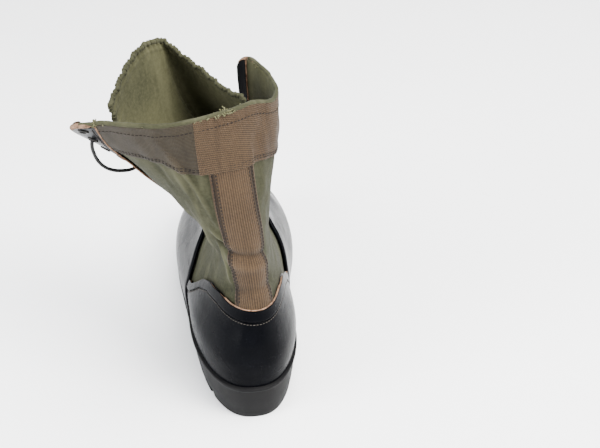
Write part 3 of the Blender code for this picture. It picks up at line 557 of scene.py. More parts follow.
class Graph:
    """A material's nodes, made and wired in short calls."""

    def __init__(self, name):
        self.material = bpy.data.materials.new(name)
        self.material.use_nodes = True
        self.tree = self.material.node_tree
        self.shader = self.tree.nodes["Principled BSDF"]

    def node(self, kind, settings=None, **inputs):
        """A node with its settings and its inputs, which are named or numbered i0, i1 and so on."""
        made = self.tree.nodes.new(kind)
        for key, value in (settings or {}).items():
            setattr(made, key, value)
        for key, value in inputs.items():
            socket = made.inputs[int(key[1:])] if key[0] == "i" and key[1:].isdigit() else made.inputs[key]
            self.put(socket, value)
        return made

    def put(self, socket, value):
        """A socket linked from another one, or set to a plain value."""
        if hasattr(value, "node"):
            self.tree.links.new(value, socket)
        else:
            socket.default_value = value

    def math(self, operation, first, second=0.5, third=0.5):
        """One arithmetic step on its values."""
        made = self.node("ShaderNodeMath", {"operation": operation}, i0=first, i1=second, i2=third)
        return made.outputs[0]

    def coords(self):
        """Places in metres along the object's own axes."""
        return self.node("ShaderNodeTexCoord").outputs["Object"]

    def cloth(self):
        """Places on the cloth map, in metres: round the boot and up it."""
        return self.node("ShaderNodeUVMap", {"uv_map": "cloth"}).outputs[0]

    def noise(self, vector, scale, detail=3.0, roughness=0.55):
        """Cloudy noise about 0.5, finer with a higher scale."""
        made = self.node("ShaderNodeTexNoise", Vector=vector, Scale=scale, Detail=detail,
                         Roughness=roughness)
        return made.outputs["Fac"]

    def remap(self, value, low, high, to_low=0.0, to_high=1.0):
        """A value carried straight from one range to another and held at its ends."""
        made = self.node("ShaderNodeMapRange", i0=value, i1=low, i2=high, i3=to_low, i4=to_high)
        return made.outputs[0]

    def wave(self, vector, way, pitch):
        """Sine stripes from 0 to 1 across a direction, a pitch apart."""
        scaled = tuple(part * 2 * math.pi / pitch for part in way)
        dot = self.node("ShaderNodeVectorMath", {"operation": "DOT_PRODUCT"}, i0=vector, i1=scaled)
        return self.remap(self.math("SINE", dot.outputs["Value"]), -1.0, 1.0)

    def stretched(self, vector, scale, detail, roughness=0.55):
        """Noise with its own scale along each axis."""
        mapped = self.node("ShaderNodeMapping", i0=vector, i3=scale).outputs[0]
        return self.noise(mapped, 1.0, detail, roughness)

    def mix(self, share, first, second):
        """Colours blended by a share. A plain colour is given as red, green and blue."""
        made = self.node("ShaderNodeMix", {"data_type": "RGBA"})
        for index, value in ((0, share), (6, first), (7, second)):
            self.put(made.inputs[index], (*value, 1) if isinstance(value, tuple) else value)
        return made.outputs[2]

    def tint(self, colour, mask, share, tone):
        """The colour moved toward a tone, by the mask times a share."""
        return self.mix(self.math("MULTIPLY", mask, share), colour, tone)

    def worn(self, colour, pale, dark):
        """The colour made paler on the ridges of the creases by wear, and darker in their troughs by painted
        shade.
        """
        wear_and_shade = self.node("ShaderNodeAttribute", {"attribute_name": "wear_and_shade"}).outputs["Fac"]
        colour = self.mix(self.remap(wear_and_shade, 0.25, 1.1, 0.0, 0.60), colour, pale)
        # Painted shade: the troughs of the creases darkened.
        return self.mix(self.remap(wear_and_shade, -0.25, -1.5, 0.0, 0.80), colour, dark)

    def bump(self, height, strength, distance, under=None):
        """A normal tilted by the slope of a height, on top of another normal if one is given."""
        made = self.node("ShaderNodeBump", Strength=strength, Distance=distance, Height=height)
        if under is not None:
            self.put(made.inputs["Normal"], under)
        return made.outputs[0]

    def finish(self, colour, roughness, normal=None, metallic=0.0, **constants):
        """The material, with its colour, roughness, normal and constants put in the shader."""
        self.put(self.shader.inputs["Base Color"], colour)
        self.put(self.shader.inputs["Roughness"], roughness)
        self.put(self.shader.inputs["Metallic"], metallic)
        if normal is not None:
            self.put(self.shader.inputs["Normal"], normal)
        for key, value in constants.items():
            self.shader.inputs[key.replace("_", " ")].default_value = value
        return self.material


def canvas_material(name, deep, mid, pale, worn=0.5):
    """Olive canvas: a fine plain weave, cloudy fading, pale worn streaks, and creases paler on the ridges by
    wear and darkened in the troughs by painted shade.
    """
    graph = Graph(name)
    place = graph.coords()
    cloth = graph.cloth()
    cloud = graph.noise(place, 14.0, 4.0, 0.6)
    streaks = graph.stretched(place, (60.0, 60.0, 9.0), 3.0)
    fine = graph.noise(place, 420.0, 2.0, 0.7)
    warp = graph.wave(cloth, (1.0, 0.0, 0.0), 0.0009)
    weft = graph.wave(cloth, (0.0, 1.0, 0.0), 0.0009)
    weave = graph.math("MULTIPLY", warp, weft)
    colour = graph.mix(graph.remap(cloud, 0.36, 0.64), deep, mid)
    colour = graph.tint(colour, graph.remap(streaks, 0.52, 0.75), worn, pale)
    colour = graph.tint(colour, graph.remap(fine, 0.35, 0.7), 0.22, pale)
    colour = graph.tint(colour, weave, 0.12, pale)
    # Crease ridges paled by wear, crease troughs darkened by painted shade.
    colour = graph.worn(colour, pale, tuple(part * 0.35 for part in deep))
    normal = graph.bump(graph.math("ADD", weave, graph.math("MULTIPLY", fine, 0.8)), 0.35, 0.0003)
    normal = graph.bump(cloud, 0.25, 0.004, normal)
    return graph.finish(colour, 0.92, normal, Sheen_Weight=0.03, Specular_IOR_Level=0.07)


def webbing_material(name, way, pitch, cross_way, cross_pitch, dark, mid, pale, seam=None):
    """Brown webbing: ribs one way, finer crossing threads, worn patches, and creases paler on the ridges by
    wear and darkened in the troughs by painted shade.

    seam is the distance from the middle at which a dark line is sewn down each side.
    """
    graph = Graph(name)
    place = graph.coords()
    cloth = graph.cloth()
    ribs = graph.wave(cloth, way, pitch)
    threads = graph.wave(cloth, cross_way, cross_pitch)
    cloud = graph.noise(place, 22.0, 4.0, 0.6)
    fine = graph.noise(place, 500.0, 2.0, 0.7)
    lines = graph.stretched(place, (160.0, 160.0, 12.0), 2.0)
    colour = graph.mix(graph.remap(cloud, 0.3, 0.7), dark, mid)
    shine = graph.math("MULTIPLY", ribs, graph.remap(threads, 0.0, 1.0, 0.45, 1.0))
    colour = graph.tint(colour, shine, 0.55, pale)
    colour = graph.tint(colour, graph.remap(lines, 0.5, 0.8), 0.5, dark)
    colour = graph.tint(colour, graph.remap(fine, 0.4, 0.75), 0.18, pale)
    # Crease ridges paled by wear, crease troughs darkened by painted shade.
    colour = graph.worn(colour, pale, tuple(part * 0.4 for part in dark))
    if seam:
        out = graph.math("ABSOLUTE", graph.node("ShaderNodeSeparateXYZ", i0=cloth).outputs[0])
        away = graph.math("ABSOLUTE", graph.math("SUBTRACT", out, seam))
        colour = graph.mix(graph.remap(away, 0.0005, 0.0019, 0.78, 0.0), colour,
                           tuple(part * 0.3 for part in dark))
    normal = graph.bump(graph.math("ADD", ribs, graph.math("MULTIPLY", threads, 0.6)), 0.6, 0.0004)
    normal = graph.bump(cloud, 0.25, 0.003, normal)
    return graph.finish(colour, 0.78, normal, Sheen_Weight=0.03, Specular_IOR_Level=0.10)


def leather_material(name):
    """Polished black leather: fine grain, broad soft gloss, faint dust and rubbed places."""
    graph = Graph(name)
    place = graph.coords()
    cells = graph.node("ShaderNodeTexVoronoi", {"feature": "F1"}, Vector=place, Scale=900.0)
    grain = cells.outputs["Distance"]
    cloud = graph.noise(place, 26.0, 4.0, 0.6)
    rubs = graph.stretched(place, (40.0, 40.0, 120.0), 4.0, 0.7)
    colour = graph.mix(graph.remap(cloud, 0.3, 0.75), (0.0010, 0.0011, 0.0015), (0.0024, 0.0026, 0.0034))
    colour = graph.tint(colour, graph.remap(rubs, 0.62, 0.80), 0.30, (0.0095, 0.0095, 0.0105))
    rough = graph.remap(cloud, 0.3, 0.75, 0.20, 0.33)
    rough = graph.math("ADD", rough, graph.math("MULTIPLY", graph.remap(rubs, 0.60, 0.82), 0.22))
    normal = graph.bump(grain, 0.10, 0.0003)
    normal = graph.bump(cloud, 0.30, 0.0022, normal)
    return graph.finish(colour, rough, normal, Specular_IOR_Level=0.5, IOR=1.07)


def rubber_material(name):
    """Dull black rubber with a faint bloom and scuffs."""
    graph = Graph(name)
    place = graph.coords()
    cloud = graph.noise(place, 35.0, 4.0, 0.65)
    fine = graph.noise(place, 600.0, 3.0, 0.7)
    scuffs = graph.stretched(place, (30.0, 30.0, 220.0), 4.0, 0.7)
    colour = graph.mix(graph.remap(cloud, 0.3, 0.7), (0.0032, 0.0032, 0.0035), (0.0066, 0.0065, 0.0066))
    colour = graph.tint(colour, graph.remap(scuffs, 0.60, 0.82), 0.35, (0.022, 0.0205, 0.0185))
    rough = graph.remap(cloud, 0.3, 0.7, 0.50, 0.68)
    normal = graph.bump(fine, 0.22, 0.0004)
    return graph.finish(colour, rough, normal, Specular_IOR_Level=0.05)


def plain_material(name, dark, pale, scale, roughness, bump=0.3, metallic=0.0, **constants):
    """A mottled finish of two tones, for threads, cut edges, metal and board."""
    graph = Graph(name)
    place = graph.coords()
    cloud = graph.noise(place, scale, 3.0, 0.65)
    colour = graph.mix(graph.remap(cloud, 0.35, 0.65), dark, pale)
    normal = graph.bump(cloud, bump, 0.0004)
    constants.setdefault("Specular_IOR_Level", 0.15)
    return graph.finish(colour, roughness, normal, metallic, **constants)


def pip(sides=6, rings=4):
    """A small rounded bead on a unit scale: its points and faces."""
    turn = np.arange(sides) * 2 * math.pi / sides
    points = [(-1.0, 0.0, 0.0)]
    for ring in range(1, rings):
        tilt = math.pi * ring / rings
        for angle in turn:
            points.append((-math.cos(tilt), math.sin(tilt) * math.cos(angle),
                           math.sin(tilt) * math.sin(angle)))
    points.append((1.0, 0.0, 0.0))
    faces = []
    for k in range(sides):
        faces.append((0, 1 + (k + 1) % sides, 1 + k))
        for ring in range(rings - 2):
            a = 1 + ring * sides
            faces.append((a + k, a + (k + 1) % sides, a + sides + (k + 1) % sides))
            faces.append((a + k, a + sides + (k + 1) % sides, a + sides + k))
        last = 1 + (rings - 2) * sides
        faces.append((last + k, last + (k + 1) % sides, len(points) - 1))
    return np.array(points), np.array(faces)


def smooth_mesh(name, points, faces, materials):
    """A smooth object from blocks of points and of faces."""
    mesh = bpy.data.meshes.new(name)
    mesh.from_pydata(np.concatenate(points).tolist(), [], np.concatenate(faces).tolist())
    mesh.shade_smooth()
    return link(name, mesh, materials)


def ring_quads(count, sides, start=0):
    """Quads between rings of points, each ring closed on itself."""
    index = start + np.arange(count * sides).reshape(count, sides)
    following = np.roll(index, -1, axis=1)
    return np.stack([index[:-1], following[:-1], following[1:], index[1:]], axis=-1).reshape(-1, 4)


def stitches(name, lines, material, pitch=0.0030, length=0.0024, width=0.0010):
    """Rows of beads along lines of level, column and lift: one joined mesh.

    Each bead is a unit bead stretched along the line, with its flat way along the normal.
    """
    bead, bead_faces = pip()
    blocks, faces = [], []
    start = 0
    for level, column, lift in lines:
        points = surface(level, column, lift)
        normals = sample(NORMALS, level, column)
        arc = arc_lengths(points)
        read = np.arange(pitch / 2, arc[-1], pitch)
        at = read_along(read, arc, points)
        out = read_along(read, arc, normals)
        along = read_along(read + pitch / 4, arc, points) - read_along(read - pitch / 4, arc, points)
        along /= np.maximum(np.linalg.norm(along, axis=1, keepdims=True), 1e-9)
        across = np.cross(out, along)
        made = (at[:, None] + along[:, None] * bead[None, :, :1] * length / 2
                + across[:, None] * bead[None, :, 1:2] * width / 2
                + out[:, None] * bead[None, :, 2:] * width / 2)
        count = len(read)
        offsets = start + np.arange(count)[:, None, None] * len(bead)
        faces.append((bead_faces[None] + offsets).reshape(-1, 3))
        blocks.append(made.reshape(-1, 3))
        start += count * len(bead)
    return smooth_mesh(name, blocks, faces, [material])


def tube(name, path, radius, materials, sides=10, guide=None, flat=1.0):
    """A round or flattened tube: rings about a path, each at right angles to it.

    radius is one number or one for each point. flat squeezes the ring along the guide.
    """
    path = np.asarray(path, float)
    ahead = np.gradient(path, axis=0)
    ahead /= np.maximum(np.linalg.norm(ahead, axis=1, keepdims=True), 1e-9)
    if guide is None:
        guide = np.tile(np.array([0.31, -0.52, 0.79]), (len(path), 1))
    side = np.cross(ahead, guide)
    side /= np.maximum(np.linalg.norm(side, axis=1, keepdims=True), 1e-9)
    up = np.cross(side, ahead)
    turn = np.linspace(0, 2 * math.pi, sides + 1)[:-1]
    size = np.broadcast_to(np.asarray(radius, float), (len(path),))[:, None, None]
    rings = path[:, None] + size * (np.cos(turn)[None, :, None] * side[:, None]
                                    + np.sin(turn)[None, :, None] * up[:, None] * flat)
    count = len(path)
    mesh = bpy.data.meshes.new(name)
    ends = [list(range(sides))[::-1], list(range((count - 1) * sides, count * sides))]
    faces = ring_quads(count, sides).tolist() + ends
    mesh.from_pydata(rings.reshape(-1, 3).tolist(), [], faces)
    layer = mesh.uv_layers.new(name="cloth")
    arc = arc_lengths(path)
    where = np.empty(len(mesh.loops), dtype=int)
    mesh.loops.foreach_get("vertex_index", where)
    uv = np.stack([(where % sides) / sides * 2 * math.pi * float(np.mean(radius)),
                   arc[where // sides]], axis=1)
    layer.data.foreach_set("uv", uv.ravel())
    mesh.shade_smooth()
    return link(name, mesh, materials)


def surface_tube(name, level, column, lift, radius, materials, sides):
    """A tube along levels and columns of the surface, raised by lift and turned with its normals."""
    return tube(name, surface(level, column, lift), radius, materials, sides,
                sample(NORMALS, level, column))


def smooth_route(points, spacing):
    """Points read from a smooth curve through a route's own points, about a spacing apart."""
    route = np.array(points)
    arc = arc_lengths(route)
    slopes = np.gradient(route, arc, axis=0)
    read = np.linspace(0, arc[-1], int(arc[-1] / spacing) + 2)
    left = np.clip(np.searchsorted(arc, read, side="right") - 1, 0, len(arc) - 2)
    span = (arc[left + 1] - arc[left])[:, None]
    part = (read - arc[left])[:, None] / span
    return cubic_between(route, slopes, left, part, span)


def collar_top(column):
    """Level of the collar's edge: 1, and round the two front corners a quarter circle lower."""
    near = np.clip((np.abs(column) - EDGE_COLUMN + CORNER_WIDTH) / CORNER_WIDTH, 0, 1)
    return 1 - CORNER_DROP * (1 - np.sqrt(1 - 0.98 * near ** 2))


def make_upper(canvas, painted_lit_lining):
    """The canvas wall: the whole surface from the feather line to the collar."""
    levels = np.linspace(0, 1, 132)
    columns = np.linspace(-EDGE_COLUMN, EDGE_COLUMN, 241)
    level, column = np.meshgrid(levels, columns, indexing="ij")
    level = level * collar_top(column)
    # Its inner face and rim take the lining: the canvas painted paler, painted light lifting the shade
    # inside the shaft.
    made = cloth_mesh("canvas_upper", level, column, 0.0, [canvas, painted_lit_lining], weld=True)
    solidify(made, CANVAS, rim=1, inside=1)
    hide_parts("upper")


def make_counter(leather, edge):
    """Counter up to its strip's foot and forward to the vamp, the strip, its cut edge and the back seam."""
    roll = 0.012
    rows = rolled_shares(44, roll)
    across = rolled_shares(150, roll * 0.6)
    level, column = counter_patch(rows, across, COUNTER_STRIP + CLEARANCE)
    made = patch("leather_counter", level, column, CLEARANCE, LEATHER, [leather, leather], rim=1,
                 row_roll=roll_down(rows, roll, 0.0010))
    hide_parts("counter")
    rows = rolled_shares(8, 0.09)
    low_level, column = counter_patch(np.ones(1), across, COUNTER_STRIP)
    high_level, _ = counter_patch(np.ones(1), across, 0.0)
    level = low_level + (high_level - low_level) * rows[:, None]
    column = np.repeat(column, len(rows), axis=0)
    strip = patch("leather_counter_strip", level, column, CLEARANCE, LEATHER * 1.45, [leather, edge],
                  rim=1, row_roll=roll_down(rows, 0.09, 0.0010) * np.where(rows > 0.5, 0.25, 1.0))
    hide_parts("counter_strip")
    pick = np.flatnonzero(np.abs(column[0] - 0.4) < 2.9)
    sunk = LEATHER_BUILD - 0.0002
    cut = surface_tube("cut_edge_counter", high_level[0][pick], column[0][pick], sunk, COUNTER_CUT_EDGE,
                       [edge], 8)
    seam = surface_tube("counter_seam", np.linspace(0.005, 0.115, 60), np.full(60, 0.18), sunk, 0.00055,
                        [leather], 6)
    return low_level[0], high_level[0], column[0]


def counter_patch(rows, across, lower):
    """Levels and columns of a patch under the counter's top line and behind the vamp.

    The ends depend on the levels and the levels on the columns, so both are found again in turn.
    """
    lateral_levels = medial_levels = np.full(1, 0.02)
    for _ in range(12):
        lateral = column_at_rear(lateral_levels, LATERAL, CLEARANCE)
        medial = column_at_rear(medial_levels, MEDIAL, CLEARANCE)
        lateral = np.broadcast_to(lateral, rows.shape)[:, None]
        medial = np.broadcast_to(medial, rows.shape)[:, None]
        column = -lateral + (lateral + medial) * across[None, :]
        level = level_at_line(column.ravel(), lower).reshape(column.shape) * rows[:, None]
        lateral_levels, medial_levels = level[:, 0], level[:, -1]
    return level, column


def make_vamp(leather, edge):
    """Vamp: from the rear line on one side round the toe to the other, up to the throat."""
    roll = 0.010
    probe = np.linspace(0.1, THROAT_LEVEL, 200)
    meets = column_at_rear(probe, MEDIAL) >= EDGE_COLUMN - 0.05
    top = probe[np.argmax(meets)] if meets.any() else THROAT_LEVEL
    rows = rolled_shares(90, roll)
    across = rolled_shares(170, roll * 0.8)
    levels = top * rows
    level = np.repeat(levels[:, None], len(across), axis=1)
    half = np.abs(across * 2 - 1)
    column = np.zeros_like(level)
    rears = {side: column_at_rear(levels, side) for side in (LATERAL, MEDIAL)}
    for index, share in enumerate(across):
        side = LATERAL if share < 0.5 else MEDIAL
        column[:, index] = side * (EDGE_COLUMN + (rears[side] - EDGE_COLUMN) * half[index])
    made = patch("leather_vamp", level, column, CLEARANCE, LEATHER, [leather, edge], rim=1,
                 row_roll=roll_down(rows, roll, 0.0009) * (rows < 0.5),
                 column_roll=roll_down(across, roll * 0.8, 0.0010))
    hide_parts("vamp")
    return levels, rears


def band_foot(column):
    """Level of the band's lower edge: higher along the lateral front."""
    return BAND_LEVEL - 0.006 + BAND_RISE * ease((-column - 3) / 5)


def make_webbing(front_material, band_material, stay_material, edge):
    """Backstay up the back, and the band round the collar over its top."""
    rows = rolled_shares(110, 0.004)
    across = rolled_shares(40, 0.03)
    low = level_at_line(np.array([0.0]), -CLEARANCE * 2)[0]
    levels = low + (BAND_LEVEL + 0.004 - low) * rows
    level, column = np.meshgrid(levels, across * 2 - 1, indexing="ij")
    stay = patch("webbing_backstay", level, column, CLEARANCE, WEBBING, [stay_material, edge],
                 column_roll=roll_down(across, 0.03, 0.0007))
    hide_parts("backstay")
    parts = []
    rows = rolled_shares(36, 0.02)
    reach = EDGE_COLUMN - 2 + 0.12
    for first, last, count, raise_by, made_of in ((-reach, BAND_JOINT + 0.3, 150, 0.0, front_material),
                                                  (BAND_JOINT, reach, 190, BAND_LAP, band_material)):
        across = rolled_shares(count, 0.005)
        share, column = np.meshgrid(rows, first + (last - first) * across, indexing="ij")
        level = band_foot(column) + (1 - band_foot(column)) * share
        over_stay = WEBBING * 0.55 * ease((1.35 - np.abs(column)) / 0.5)
        lap = raise_by * ease((BAND_JOINT + 2.5 - column) / 2.0)
        parts.append(patch(f"webbing_band_{len(parts)}", level, column, CLEARANCE, WEBBING,
                           [made_of, edge], row_roll=roll_down(rows, 0.02, 0.0006),
                           column_roll=roll_down(across, 0.005, 0.0008),
                           extra=over_stay * ease((BAND_LEVEL + 0.09 - level) / 0.09) + lap))
    for part in parts:
        apply_modifiers(part)
    band = join("webbing_band", parts)
    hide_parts("collar_band")


def make_eyestays(leather, edge):
    """Leather down both front edges, folded round to a narrower facing inside, with a cut edge.

    The cut edge runs down the inner side and over the top, where it widens across the fold.
    """
    rows = rolled_shares(100, 0.006)
    across = rolled_shares(16, 0.05)
    for side, word in ((LATERAL, "lateral"), (MEDIAL, "medial")):
        pieces = []
        for inner, lift, roll in ((EYESTAY_INNER, CLEARANCE, 0.0008),
                                  (EDGE_COLUMN - 0.95, -CANVAS - CLEARANCE - LEATHER * 0.6, 0.0003)):
            spread = inner + (EDGE_COLUMN - inner) * across
            column = np.repeat(side * spread[None, :], len(rows), axis=0)
            if side == LATERAL:
                column = column[:, ::-1]
            top = collar_top(column) + 0.004
            level = THROAT_LEVEL + 0.002 + (top - THROAT_LEVEL - 0.002) * rows[:, None]
            thick = LEATHER if lift > 0 else LEATHER * 0.6
            pieces.append(patch(f"leather_eyestay_{word}_{len(pieces)}", level, column, lift, thick,
                                [leather, edge], rim=1, row_roll=roll_down(rows, 0.006, roll),
                                column_roll=roll_down(across, 0.05, roll)))
        for piece in pieces:
            apply_modifiers(piece)
        made = join(f"leather_eyestay_{word}", pieces)
        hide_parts(f"eyestay_{word}")
        up = np.linspace(0.44, 0.985, 110)
        over = np.linspace(CUT_EDGE_COLUMN, EDGE_COLUMN - 0.12, 40)
        level = np.concatenate([up, collar_top(over)])
        column = side * np.concatenate([np.full(110, CUT_EDGE_COLUMN), over])
        fold = np.full(40, (LEATHER_BUILD - CANVAS) / 2)
        lift = np.concatenate([np.full(110, LEATHER_BUILD - 0.0004), fold])
        wider = CUT_EDGE + CUT_EDGE_FOLD * ease((over - over[0]) / 0.5)
        size = np.concatenate([np.full(110, CUT_EDGE), wider])
        cut = surface_tube(f"cut_edge_{word}", level, column, lift, size, [edge], 10)


def eyelet_places(side):
    """Middles of one eyestay's eyelets, evenly apart along it, and the way outward at each."""
    levels = np.linspace(THROAT_LEVEL, 1, 400)
    arc = arc_lengths(surface(levels, np.full(levels.shape, side * EYELET_COLUMN, float)))
    read = np.linspace(FIRST_EYELET, arc[-1] - LAST_EYELET, EYELETS)
    found = np.interp(read, arc, levels)
    places = np.full(EYELETS, side * EYELET_COLUMN, float)
    return surface(found, places, LEATHER_BUILD), sample(NORMALS, found, places)


def make_eyelets(material):
    """Rolled metal rings: a rounded section turned about each hole."""
    section = np.array([(0.0024, -0.0022), (0.0025, 0.0003), (0.0029, 0.00085), (0.0034, 0.0010),
                        (0.0040, 0.00075), (0.0043, 0.0001), (0.0043, -0.0004)])
    sides = 20
    turn = np.arange(sides) * 2 * math.pi / sides
    blocks, faces, start = [], [], 0
    for side in (LATERAL, MEDIAL):
        centres, out = eyelet_places(side)
        first = np.cross(out, np.array([0.0, 0.0, 1.0]))
        first /= np.linalg.norm(first, axis=1, keepdims=True)
        second = np.cross(out, first)
        for centre, way, one, two in zip(centres, out, first, second):
            ring = np.cos(turn)[:, None] * one + np.sin(turn)[:, None] * two
            points = centre + section[:, None, :1] * ring[None] + section[:, None, 1:] * way
            faces.append(ring_quads(len(section), sides, start))
            blocks.append(points.reshape(-1, 3))
            start += len(section) * sides
    made = smooth_mesh("eyelets", blocks, faces, [material])
    names = [f"eyelet_{word}_{n + 1}" for word in ("lateral", "medial") for n in range(EYELETS)]
    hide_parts(*names)


def make_collar_roll(material, loose):
    """The rolled canvas edge round the collar, its thickness wavering, with frayed threads."""
    count = 420
    column = np.linspace(-EDGE_COLUMN + 1.0, EDGE_COLUMN - 1.0, count)
    level = collar_top(column)
    middle = (CLEARANCE + WEBBING - CANVAS) / 2
    path = surface(level, column, middle)
    path[:, 2] += 0.0004
    arc = sample(ARCS, level, column)
    waver = np.random.default_rng(4).uniform(-1, 1, 60)
    uneven = np.interp(arc, np.linspace(arc[0], arc[-1], 60), waver)
    size = 0.0017 + 0.00022 * uneven
    made = tube("collar_roll", path, size, [material], 12, sample(NORMALS, level, column), 1.0)
    fray("frayed_threads", loose)


def fray(name, material):
    """Short curled threads at the worn places of the collar: joined thin tubes."""
    source = np.random.default_rng(11)
    groups = ((0.1, 0.50, 130, 0.0046), (-0.9, 0.8, 22, 0.0026), (-15.9, 0.4, 30, 0.0040),
              (15.9, 0.3, 16, 0.0032), (-9.0, 6.0, 12, 0.0016))
    pieces = []
    for centre, spread, count, reach in groups:
        for _ in range(count):
            column = np.array([centre + source.normal(0, spread * 0.5)])
            base = surface(np.ones(1), column, source.uniform(-0.0012, 0.0016))[0]
            way = source.normal(0, 1, 3) + np.array([0, 0, 1.1])
            way /= np.linalg.norm(way)
            bend = source.normal(0, 1, 3)
            length = reach * source.uniform(0.4, 1.1)
            step = np.linspace(0, 1, 6)[:, None]
            path = base + way * length * step * 0.7 + bend * length * 0.42 * step ** 2
            path[:, 2] = base[2] + (path[:, 2] - base[2]) * 0.6 - length * 0.15 * step[:, 0] ** 2
            path[:, 1] -= length * 0.15 * step[:, 0]
            pieces.append(tube(f"thread_{len(pieces)}", path, 0.00048, [material], 4))
    join(name, pieces)


def join(name, pieces):
    """Several pieces made one mesh object."""
    bpy.ops.object.select_all(action="DESELECT")
    for piece in pieces:
        piece.select_set(True)
    bpy.context.view_layer.objects.active = pieces[0]
    bpy.ops.object.join()
    made = pieces[0]
    made.name = name
    made.data.name = name
    return made


def tongue_rows():
    """The tongue's own rows: two under the vamp, then those of its table."""
    across = np.linspace(-1, 1, 121)
    rows = []
    for row, gap in zip(TONGUE_HIDDEN_ROWS, (TONGUE_SEWN_GAP, TONGUE_GAP)):
        sunk = CANVAS + gap
        level = THROAT_LEVEL * row
        line = []
        for share in across:
            side = LATERAL if share < 0 else MEDIAL
            points, arc, _ = opened_half(level, side)
            at = arc[-1] - abs(share) * TONGUE_FOOT_WIDTH / 2
            line.append([np.interp(at, arc, points[:, k]) for k in range(3)])
        line = np.array(line)
        line[:, 1:] -= sunk
        rows.append(line)
    for up, drop, left, left_on, ridge, ridge_on, right, right_on, power in TONGUE:
        bend = np.abs(across) ** power
        x = ridge + (right - left) / 2 * across + ((left + right) / 2 - ridge) * bend
        on = ridge_on + (right_on - left_on) / 2 * across
        on += ((left_on + right_on) / 2 - ridge_on) * bend
        height = (up - drop * np.abs(across) ** TONGUE_DROOP) * COLLAR_HEIGHT
        bow = np.sin(math.pi * np.abs(across)) * ease((up - 0.6) / 0.4)
        height += np.where(across < 0, TONGUE_BULGE, -TONGUE_SAG) * bow
        height -= TONGUE_FALL * ease((across - 0.45) / 0.45) * ease((up - 0.6) / 0.4)
        rows.append(np.stack([x * BALL_WIDTH, UPPER_BACK + on * FOOT_LENGTH, height], axis=1))
    return np.array(rows)


def make_tongue(canvas, painted_lit_lining, binding):
    """The tongue: its rows read smoothly, with a puckered, bound edge down the sides and over the top.

    The pucker is a wave along the edge that dies away over 12 mm from it.
    """
    rows = tongue_rows()
    count, wide = 150, rows.shape[1]
    arc = arc_lengths(rows[:, wide // 2])
    slopes = np.gradient(rows, arc, axis=0)
    read = np.linspace(0, arc[-1], count)
    left = np.clip(np.searchsorted(arc, read, side="right") - 1, 0, len(arc) - 2)
    span = (arc[left + 1] - arc[left])[:, None, None]
    part = (read - arc[left])[:, None, None] / span
    points = cubic_between(rows, slopes, left, part, span)
    facing = np.cross(np.gradient(points, axis=1), np.gradient(points, axis=0))
    facing /= np.linalg.norm(facing, axis=2, keepdims=True)
    up = np.linalg.norm(np.diff(points, axis=0), axis=2)
    up = np.concatenate([np.zeros((1, wide)), np.cumsum(up, axis=0)])
    over = np.linalg.norm(np.diff(points, axis=1), axis=2)
    over = np.concatenate([np.zeros((count, 1)), np.cumsum(over, axis=1)], axis=1)
    from_top = up[-1] - up
    from_side = np.minimum(over, over[:, -1:] - over)
    edge = np.minimum(from_top, from_side)
    around = np.where(from_top < from_side, over, up + 0.5)
    free = ease((up - 0.035) / 0.04)
    pucker = np.sin(around * 2 * math.pi / 0.0044) * 0.0005
    pucker += np.sin(around * 2 * math.pi / 0.0131 + 1.0) * 0.0006
    wave = pucker * np.exp(-edge / 0.0060) * free
    hem = 0.0006 * np.exp(-((edge - 0.0015) / 0.0022) ** 2) * free
    hem += 0.0007 * np.exp(-((edge - 0.0062) / 0.0010) ** 2) * free
    crease = -0.0016 * np.exp(-((over / over[:, -1:] - 0.50) / 0.018) ** 2) * free
    shaped = points + facing * (wave + hem + crease)[..., None]
    uv = np.stack([over, up], axis=-1)
    # One face of the tongue takes the lining, the canvas painted paler as painted light; the other takes the
    # canvas.
    made = grid_mesh("canvas_tongue", shaped, [painted_lit_lining, canvas, binding], uv)
    solidify(made, TONGUE_THICKNESS, rim=2, inside=1)
    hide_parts("tongue")
    inward = -TONGUE_THICKNESS / 2
    first = 38
    border = np.concatenate([shaped[first:, 0], shaped[-1, 1:-1], shaped[first:, -1][::-1]])
    guide = np.concatenate([facing[first:, 0], facing[-1, 1:-1], facing[first:, -1][::-1]])
    border = border + guide * inward
    along = arc_lengths(border)
    read = np.linspace(0, along[-1], 900)
    path = read_along(read, along, border)
    out = read_along(read, along, guide)
    size = 0.0020 + 0.00042 * np.sin(read * 2 * math.pi / 0.0030)
    size += 0.00015 * np.sin(read * 2 * math.pi / 0.0161)
    bound = tube("tongue_binding", path, size, [binding], 10, out, 0.85)


